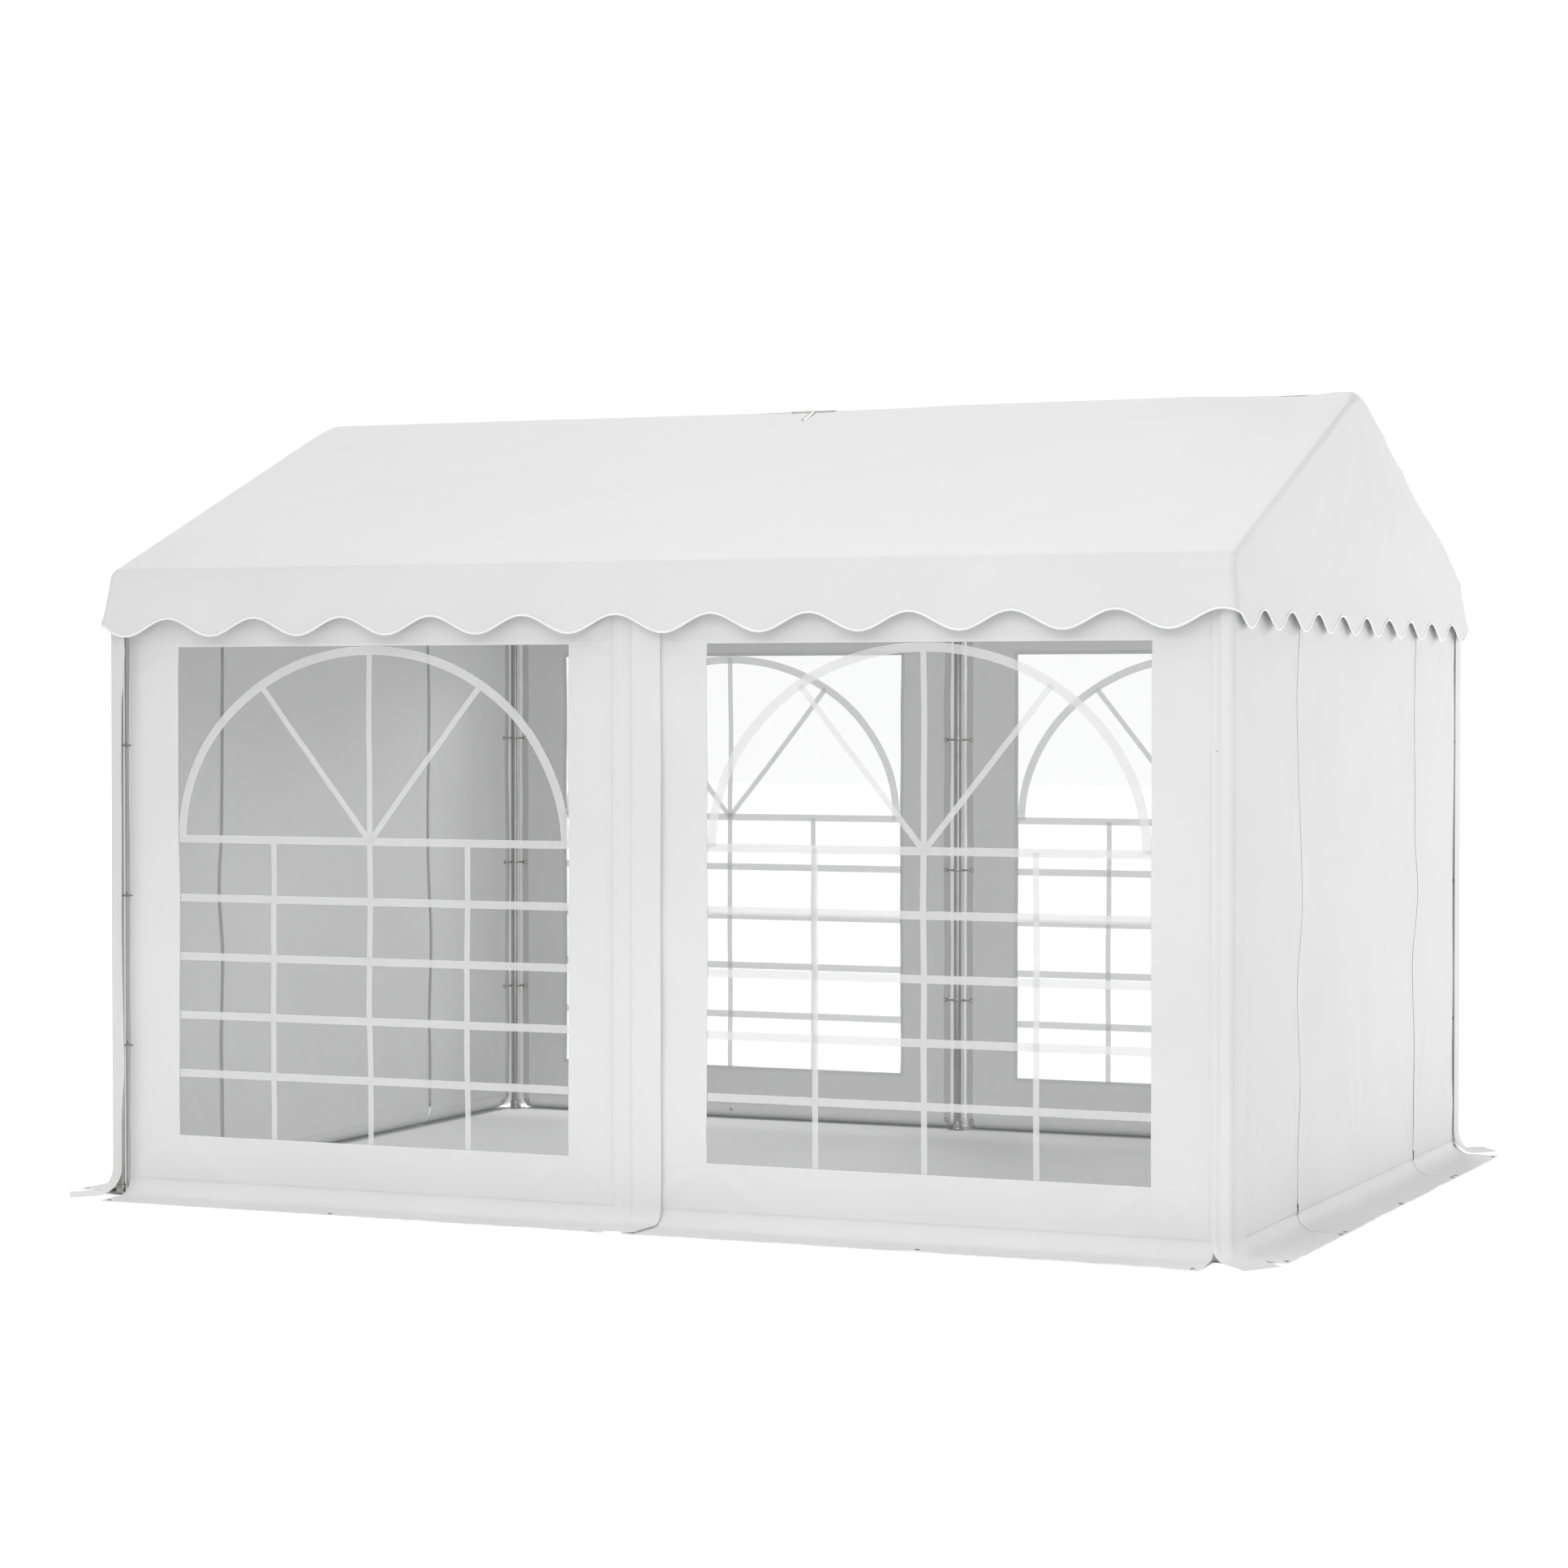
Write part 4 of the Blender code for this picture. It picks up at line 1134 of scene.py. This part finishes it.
def gable_point(way, y, run, lift=0.0):
    out, z, level, upward = hang(run, WALL_X, GABLE_TOP)
    share = ease(WALL_X + 0.01, SKIRT_END_X, out)
    move = gable_wall_relief(way, y, z) * level + skirt_relief(y, share, 91 + way) + lift
    out = out + 0.004 * share * noise(y * 2.3, share * 0, 95 + way)
    return way * (out + move * level), y + gable_sway(way, y, z), z + move * upward


def gable_seam(y, run):
    z = GABLE_TOP - run
    gape = 1 + 0.8 * noise(y * 3.0, z * 0, 97)
    step = 0.0014 * ease(SKIRT_SEAM_Z + 0.002, SKIRT_SEAM_Z + 0.004, z)
    return step - 0.0022 * gape * bell(z - SKIRT_SEAM_Z, 0.0022)


def build_gables():
    end = run_end(WALL_X, GABLE_TOP, SKIRT_END_X)
    seam = GABLE_TOP - SKIRT_SEAM_Z
    marks = [seam + offset for offset in (-0.010, -0.005, -0.003, -0.0015, 0.0, 0.0015, 0.003, 0.006)]
    marks += [seam + 0.006 + 0.010 * number for number in range(1, 11)]
    down = stations(0.0, end, 0.018, marks)
    panels = (
        ("front_panel", -GABLE_END_Y, -ZIP_Y - ZIP_HALF),
        ("door_panel", -ZIP_Y + ZIP_HALF, ZIP_Y - ZIP_HALF),
        ("back_panel", ZIP_Y + ZIP_HALF, GABLE_END_Y),
    )
    for gable_name, way in WAYS.items():
        for panel_name, low, high in panels:
            hem_marks = [low + 0.024, low + 0.027, high - 0.027, high - 0.024]
            across = stations(low, high, 0.015, hem_marks)

            def place(y, run):
                hems = 0.0006 * (1 - ease(low + 0.024, low + 0.027, y) * (1 - ease(high - 0.027, high - 0.024, y)))
                return gable_point(way, y, run, gable_seam(y, run) + hems)

            def hem(y):
                return np.abs(y) > GABLE_END_Y - HEM_WIDE

            panel = sheet(
                f"gable_cloth_{gable_name}_{panel_name}", across, down, place, (way, 0, 0),
                cloth_finish, inside=hem_inside_shade_finish, hem=hem,
            )
            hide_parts(f"gable_{gable_name}_{panel_name}")
        for zip_name, y in (("front", -ZIP_Y), ("back", ZIP_Y)):
            build_zip(gable_name, zip_name, y)
        build_gable_eyelets(gable_name)


def box(shape, centre, axes, size):
    """A block with its own axes; size is its half length along each."""
    corners = []
    for signs in ((-1, -1, -1), (1, -1, -1), (1, 1, -1), (-1, 1, -1), (-1, -1, 1), (1, -1, 1), (1, 1, 1), (-1, 1, 1)):
        point = Vector(centre)
        for sign, axis, reach in zip(signs, axes, size):
            point += axis * (sign * reach)
        corners.append(shape.verts.new(point))
    for face in ((3, 2, 1, 0), (4, 5, 6, 7), (0, 1, 5, 4), (1, 2, 6, 5), (2, 3, 7, 6), (3, 0, 4, 7)):
        shape.faces.new([corners[number] for number in face])


def zip_line(way, y, heights):
    """Points down the middle of a zip, a little behind the cloth's face."""
    run = GABLE_TOP - np.array(heights)
    x, wander, z = gable_point(way, np.full_like(run, y), run, -0.0006)
    return [Vector(point) for point in zip(x, wander, z)]


def build_zip(gable_name, zip_name, y):
    """Interlocking teeth on a woven tape, with a slider and its pull at the foot."""
    way = WAYS[gable_name]
    heights = np.arange(ZIP_FOOT_Z, 2.10, 0.0034)
    line = zip_line(way, y, heights)
    out = Vector((way, 0, 0))
    shape = bmesh.new()
    for number in range(len(line) - 1):
        ahead = (line[number + 1] - line[number]).normalized()
        beside = out.cross(ahead).normalized()
        shift = 0.00045 if number % 2 else -0.00045
        box(shape, line[number] + beside * shift, (beside, ahead, out), (0.0027, 0.0010, 0.0009))
    teeth = finish_shape(f"zip_teeth_{gable_name}_{zip_name}", shape, zip_finish, smooth=False)

    shape = bmesh.new()
    edges = []
    for point in line[::6] + [line[-1]]:
        edges.append([shape.verts.new(point + Vector((way * depth, reach, 0))) for depth, reach in (
            (-0.0012, -0.0075), (-0.0012, 0.0075), (-0.0018, 0.0075), (-0.0018, -0.0075)
        )])
    for lower, upper in zip(edges, edges[1:]):
        for step in range(4):
            after = (step + 1) % 4
            shape.faces.new((lower[step], lower[after], upper[after], upper[step]))
    shape.faces.new(edges[0])
    shape.faces.new(list(reversed(edges[-1])))
    finish_shape(f"zip_tape_{gable_name}_{zip_name}", shape, tape_finish, smooth=False)

    foot = line[0]
    up = (line[4] - line[0]).normalized()
    beside = out.cross(up).normalized()
    shape = bmesh.new()
    box(shape, foot + out * 0.0028 + up * 0.004, (beside, up, out), (0.0042, 0.0085, 0.0011))
    box(shape, foot - out * 0.0014 + up * 0.004, (beside, up, out), (0.0042, 0.0085, 0.0009))
    box(shape, foot + out * 0.0012 + up * 0.010, (beside, up, out), (0.0012, 0.0025, 0.0024))
    box(shape, foot + out * 0.0050 + up * 0.004, (beside, up, out), (0.0012, 0.0045, 0.0012))
    for side in (-1, 1):
        box(shape, foot + out * 0.0052 + beside * (0.0026 * side) - up * 0.010, (beside, up, out), (0.0007, 0.012, 0.0006))
    box(shape, foot + out * 0.0052 - up * 0.022, (beside, up, out), (0.0033, 0.0028, 0.0008))
    bmesh.ops.bevel(shape, geom=shape.edges, offset=0.0004, segments=2, affect="EDGES")
    slider = finish_shape(f"zip_slider_{gable_name}_{zip_name}", shape, slider_finish)
    slider.data.set_sharp_from_angle(angle=math.radians(40))
    return teeth


# Eyelets and elastic ties


def eyelet(shape, centre, facing, radius=0.0064, rim=0.0021):
    """A rolled metal ring that grips the cloth from both sides."""
    facing = Vector(facing).normalized()
    side = facing.orthogonal().normalized()
    other = facing.cross(side)
    around = 24
    rings = []
    for number in range(around):
        turn = math.tau * number / around
        way = side * math.cos(turn) + other * math.sin(turn)
        ring = []
        for step in range(8):
            roll = math.tau * step / 8
            offset = way * (radius + rim * math.cos(roll)) + facing * (rim * 0.9 * math.sin(roll))
            ring.append(shape.verts.new(Vector(centre) + offset))
        rings.append(ring)
    for lower, upper in zip(rings, rings[1:] + rings[:1]):
        for step in range(8):
            after = (step + 1) % 8
            shape.faces.new((lower[step], lower[after], upper[after], upper[step]))


def shade_disc(shape, centre, facing, radius=0.0050, half=0.0010):
    """The hole of an eyelet, a shallow lens between its rims, which takes a painted shade or a painted glow for what
    shows through.
    """
    facing = Vector(facing).normalized()
    side = facing.orthogonal().normalized()
    other = facing.cross(side)
    rim = []
    for number in range(20):
        turn = math.tau * number / 20
        rim.append(shape.verts.new(Vector(centre) + (side * math.cos(turn) + other * math.sin(turn)) * radius))
    for sign in (1, -1):
        pole = shape.verts.new(Vector(centre) + facing * (half * sign))
        for one, two in zip(rim, rim[1:] + rim[:1]):
            shape.faces.new((one, two, pole))


def build_eyelets(name, places, behind):
    """Rings and holes for a list of (centre, facing); behind is the finish of the holes, a painted glow or painted
    shade for what shows through them.
    """
    rings = bmesh.new()
    holes = bmesh.new()
    for centre, facing in places:
        eyelet(rings, centre, facing)
        shade_disc(holes, centre, facing)
    made = finish_shape(name, rings, eyelet_finish)
    finish_shape(f"{name}_holes", holes, behind)
    return made


def on_wall(side_name, bay_name, u, run, depth=RING_DEPTH):
    x, y, z = wall_point(side_name, bay_name, np.array([u]), np.array([run]), depth)
    return Vector((float(x[0]), float(y[0]), float(z[0])))


def on_gable(way, y, run, depth=RING_DEPTH):
    x, wander, z = gable_point(way, np.array([y]), np.array([run]), depth)
    return Vector((float(x[0]), float(wander[0]), float(z[0])))


def ring_runs(top):
    """The run down a wall and the tilt of each eyelet of a column; the lowest is in the skirt's bend."""
    low_turn = math.radians(27)
    low_run = top - SKIRT_REST - SKIRT_ROUND + SKIRT_ROUND * low_turn
    return [(top - height, 0.0) for height in TIE_HEIGHTS] + [(low_run, low_turn)]


def build_wall_eyelets(side_name, bay_name):
    end = run_end(WALL_Y, WALL_TOP, SKIRT_END_Y)
    side = SIDES[side_name]
    column = []
    spots = [(u, run, tilt) for u in RING_X for run, tilt in ring_runs(WALL_TOP)]
    spots.append((WINDOW_MIDDLE, *ring_runs(WALL_TOP)[-1]))
    for u, run, tilt in spots:
        if tilt == 0 or side > 0:
            column.append((on_wall(side_name, bay_name, u, run), (0, side * math.cos(tilt), math.sin(tilt))))
    skirt = []
    for u in (PANEL_X[0] + 0.03, 1.05, PANEL_X[1] - 0.025):
        skirt.append((on_wall(side_name, bay_name, u, end - 0.020), (0, 0, 1)))
    rings = build_eyelets(f"wall_eyelets_{side_name}_{bay_name}", column, hole_glow_finish)
    build_eyelets(f"skirt_eyelets_{side_name}_{bay_name}", skirt, hole_shade_finish)
    return rings


def build_gable_eyelets(gable_name):
    way = WAYS[gable_name]
    end = run_end(WALL_X, GABLE_TOP, SKIRT_END_X)
    column = []
    for side in SIDES.values():
        for run, tilt in ring_runs(GABLE_TOP):
            column.append((on_gable(way, side * RING_Y, run), (way * math.cos(tilt), 0, math.sin(tilt))))
    skirt = []
    for y in (-1.426, -0.805, -0.752, -0.005, 0.754, 0.803, 1.413):
        skirt.append((on_gable(way, y, end - 0.013), (0, 0, 1)))
    build_eyelets(f"gable_eyelets_{gable_name}", column, hole_glow_finish)
    build_eyelets(f"gable_skirt_eyelets_{gable_name}", skirt, hole_shade_finish)


def smooth_path(points, steps=6):
    """A rounded line through the points."""
    ends = [points[0]] + points + [points[-1]]
    line = []
    for number in range(1, len(ends) - 2):
        before, start, stop, after = ends[number - 1:number + 3]
        for step in range(steps):
            t = step / steps
            line.append(0.5 * (
                2 * start + (stop - before) * t
                + (2 * before - 5 * start + 4 * stop - after) * t**2
                + (3 * start - before - 3 * stop + after) * t**3
            ))
    return line + [points[-1]]


def build_ties():
    """Elastic loops from eyelet to eyelet, two strands outside each leg and one inside, and a toggle."""
    for side_name, side in SIDES.items():
        for place_name, x in LEG_X.items():
            cords = bmesh.new()
            toggles = bmesh.new()
            bay = "left" if x <= 0 else "right"
            way = WAYS[bay] if x else 1
            for height in TIE_HEIGHTS:
                run = WALL_TOP - height
                if x:
                    start = on_wall(side_name, bay, RING_X[1], run)
                    stop = on_gable(way, side * RING_Y, GABLE_TOP - height)
                    inward = Vector((-way * 0.8, -side * 0.6, 0)).normalized()
                    wraps = CORNER_WRAPS
                else:
                    start = on_wall(side_name, "left", RING_X[0], run)
                    stop = on_wall(side_name, "right", RING_X[0], run)
                    inward = Vector((0, -side, 0))
                    wraps = MIDDLE_WRAPS
                for angles, lift in zip((wraps[0], wraps[0], wraps[1]), (0.0020, -0.0016, -0.0022)):
                    line = [start]
                    for angle in angles:
                        turn = math.radians(angle)
                        reach = LEG_R + 0.0021
                        line.append(Vector((
                            x + way * reach * math.cos(turn), side * (LEG_Y + reach * math.sin(turn)), height + lift
                        )))
                    tube_mesh(cords, smooth_path(line + [stop]), 0.0018, 8)
                knot = start + inward * 0.005 + (stop - start).normalized() * 0.009
                bmesh.ops.create_uvsphere(toggles, u_segments=14, v_segments=10, radius=0.0048,
                                          matrix=Matrix.Translation(knot))
            finish_shape(f"elastic_ties_{side_name}_{place_name}", cords, elastic_finish)
            finish_shape(f"tie_toggles_{side_name}_{place_name}", toggles, knot_finish)


# Flaps


def build_middle_flaps():
    bend = SKIRT_ROUND - FLAP_LAYER
    rest = SKIRT_REST + FLAP_LAYER
    wall = WALL_Y + FLAP_LAYER
    drop = FLAP_TOP - rest - bend
    end = drop + bend * math.pi / 2 + MIDDLE_FLAP_END_Y - wall - bend
    across = stations(*MIDDLE_FLAP, 0.007)
    down = stations(0.0, end, 0.018, [drop + 0.010 * number for number in range(13)])
    for side_name, side in SIDES.items():

        def place(u, run):
            turn = np.clip((run - drop) / bend, 0, math.pi / 2)
            flat = np.maximum(run - drop - bend * math.pi / 2, 0)
            out = wall + bend * (1 - np.cos(turn)) + flat
            z = FLAP_TOP - np.minimum(run, drop) - bend * np.sin(turn)
            seed = 201 + side
            move = eased_knots(u, MIDDLE_BULGE) + 0.0010 * noise(u * 16.0, z * 0.7, seed)
            move = move + 0.0012 * noise(u * 3.0, z * 2.0, seed + 1) + 0.0006
            move = move - 0.0016 * bell((u + 0.044) * 0.96 + (z - 0.66) * 0.27, 0.006) * bell(z - 0.66, 0.10)
            move = np.maximum(move, 0.0002) * (1 - 0.6 * ease(0.0, 1.0, turn))
            sway = 0.004 * noise(z * 1.7, u * 2.0, seed + 2) * ease(0.0, 0.3, run)
            sway = sway - 0.006 * ease(drop - 0.05, end, run) * ease(-0.02, 0.09, u)
            x = -side * (u + sway)
            return x, side * (out + move * np.cos(turn)), z + move * np.sin(turn)

        flap = sheet(
            f"middle_flap_cloth_{side_name}", across, down, place, (0, side, 0), cloth_finish,
            inside=flap_inside_glow_finish,
        )
        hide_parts(f"middle_flap_{side_name}")


def flap_plan(distance, corner_u, shape, turn, free_gain):
    """Plan of a corner flap at a distance from its sewn edge, and its outward normal."""
    straight, bend, free, bulge = shape
    angle = np.clip((distance - straight) / bend, 0, turn)
    rest = np.maximum(distance - straight - bend * turn, 0) * free_gain
    start = corner_u - FLAP_SEWN
    along = start + np.minimum(distance, straight) + bend * np.sin(angle) + rest * np.cos(angle)
    away = bulge * ease(*BULGE_SPAN, distance) + bend * (np.cos(angle) - 1) - rest * np.sin(angle)
    return along, away, np.sin(angle), np.cos(angle)


def corner_flap_grid(corner_u, shape, turns, line, free_gain, drop, seed):
    """Rows of points (along the wall, out from it, up) from the top to the tongue on the floor."""
    start, end = (np.array(point) for point in line)

    def place(share, run):
        z = FLAP_TOP - run
        turn = turns(np.maximum(z, 0))
        length = shape[0] + shape[1] * turn + shape[2]
        low = np.clip((FLAP_REST + drop - z) / drop, 0, None)
        arc = np.clip(low, 0, 1) * math.pi / 2
        hang_z = np.where(low > 0, FLAP_REST + drop * (1 - np.sin(arc)), z)
        past = np.clip(low - 1, 0, None)
        run_share = drop * (1 - np.cos(arc)) / FLAP_RUN
        run_share = run_share + past * drop / FLAP_RUN
        along, away, n_along, n_away = flap_plan(share * length, corner_u, shape, turn, free_gain(z))
        free = ease(0.35, 1.0, share) * ease(0.0, 0.3, run)
        wave = 0.0015 * noise(share * 3.0, z * 1.3, seed) + free * 0.0045 * noise(z * 2.6, share * 2.0, seed + 1)
        if shape[3]:
            wave = np.maximum(wave + free * 0.004 + 0.0012, 0.0003)
        else:
            wave = 0.6 * wave + 0.0005
        along = along + n_along * wave
        away = away + n_away * wave
        tip_along = start[0] + (end[0] - start[0]) * share
        tip_away = start[1] + (end[1] - start[1]) * share
        run_share = np.clip(run_share, 0, 1)
        lift = 0.002 * np.maximum(noise(share * 3.0, run_share * 2.0, seed + 2), 0) * run_share
        return (
            along + (tip_along - along) * run_share,
            away + (tip_away - away) * run_share,
            hang_z + lift,
        )

    return place


def build_corner_flaps():
    """Two flaps sewn to long walls wrap the corner, and two sewn to gables stand a little open."""
    full = math.pi / 2
    across = stations(0.0, 1.0, 0.035)
    long_out = WALL_Y + FLAP_LAYER
    gable_out = WALL_X + FLAP_LAYER

    def closed(z):
        return np.full_like(z, full)

    def standing(z):
        return np.radians(eased_knots(z, STANDING_TURN))

    def wide_top(z):
        return 1.0 + 0.35 * ease(0.3, 1.9, z)

    def slim_top(z):
        return 1.0 - 0.35 * ease(1.86, 2.00, z)

    for name, side, way in (("front_right", -1, 1), ("back_left", 1, -1)):
        tongue_line = [(x, y - long_out) for x, y in LONG_TONGUE]
        rows = corner_flap_grid(gable_out, WRAPPED_SHAPE, closed, tongue_line, wide_top, WRAPPED_DROP, 300)

        def place(share, run):
            along, away, z = rows(share, run)
            return way * along, side * (long_out + away), z

        add_flap(name, across, WRAPPED_DROP, place, (way, side, 0))
    for name, side, way in (("front_left", -1, -1), ("back_right", 1, 1)):
        tongue_line = [(y, x - gable_out) for x, y in GABLE_TONGUE]
        rows = corner_flap_grid(long_out, STANDING_SHAPE, standing, tongue_line, slim_top, STANDING_DROP, 330)

        def place(share, run):
            along, away, z = rows(share, run)
            return way * (gable_out + away), side * along, z

        add_flap(name, across, STANDING_DROP, place, (way, side, 0))


def add_flap(name, across, drop, place, facing):
    end = FLAP_TOP - FLAP_REST + FLAP_RUN - drop
    down = stations(0.0, end, 0.016, [FLAP_TOP - FLAP_REST - drop + 0.008 * number for number in range(12)])
    flap = sheet(
        f"corner_flap_cloth_{name}", across, down, place, facing, cloth_finish,
        inside=flap_inside_glow_finish,
    )
    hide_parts(f"corner_flap_{name}")


# The steel frame: its CAD bars and connectors keep their shapes and take steel finishes, and the legs are built anew


def build_legs():
    """Round legs with the flared collar and thin plate of their plug-in feet."""
    for side_name, side in SIDES.items():
        for place_name, x in LEG_X.items():
            shape = bmesh.new()
            rings = []
            for radius, height in LEG_OUTLINE:
                ring = []
                for step in range(LEG_FACETS):
                    turn = math.tau * step / LEG_FACETS
                    ring.append(shape.verts.new((
                        x + radius * math.cos(turn), side * LEG_Y + radius * math.sin(turn), height
                    )))
                rings.append(ring)
            for lower, upper in zip(rings, rings[1:]):
                for step in range(LEG_FACETS):
                    after = (step + 1) % LEG_FACETS
                    shape.faces.new((lower[step], lower[after], upper[after], upper[step]))
            shape.faces.new(reversed(rings[0]))
            shape.faces.new(rings[-1])
            name = f"leg_{side_name}_{place_name}"
            made = finish_shape(f"round_{name}", shape, tube_finish)
            made.data.set_sharp_from_angle(angle=math.radians(40))
            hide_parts(name)


def finish_frame():
    for name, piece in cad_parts.items():
        if name.startswith(("rafter_", "eave_bar_", "ridge_bar_", "gable_bar_")):
            finish = tube_finish
        elif "connector" in name:
            finish = joint_finish
        else:
            continue
        for number in range(len(piece.material_slots)):
            piece.material_slots[number].material = finish


build_studio()
finish_frame()
build_legs()
build_cover()
build_window_walls()
build_gables()
build_middle_flaps()
build_corner_flaps()
build_ties()
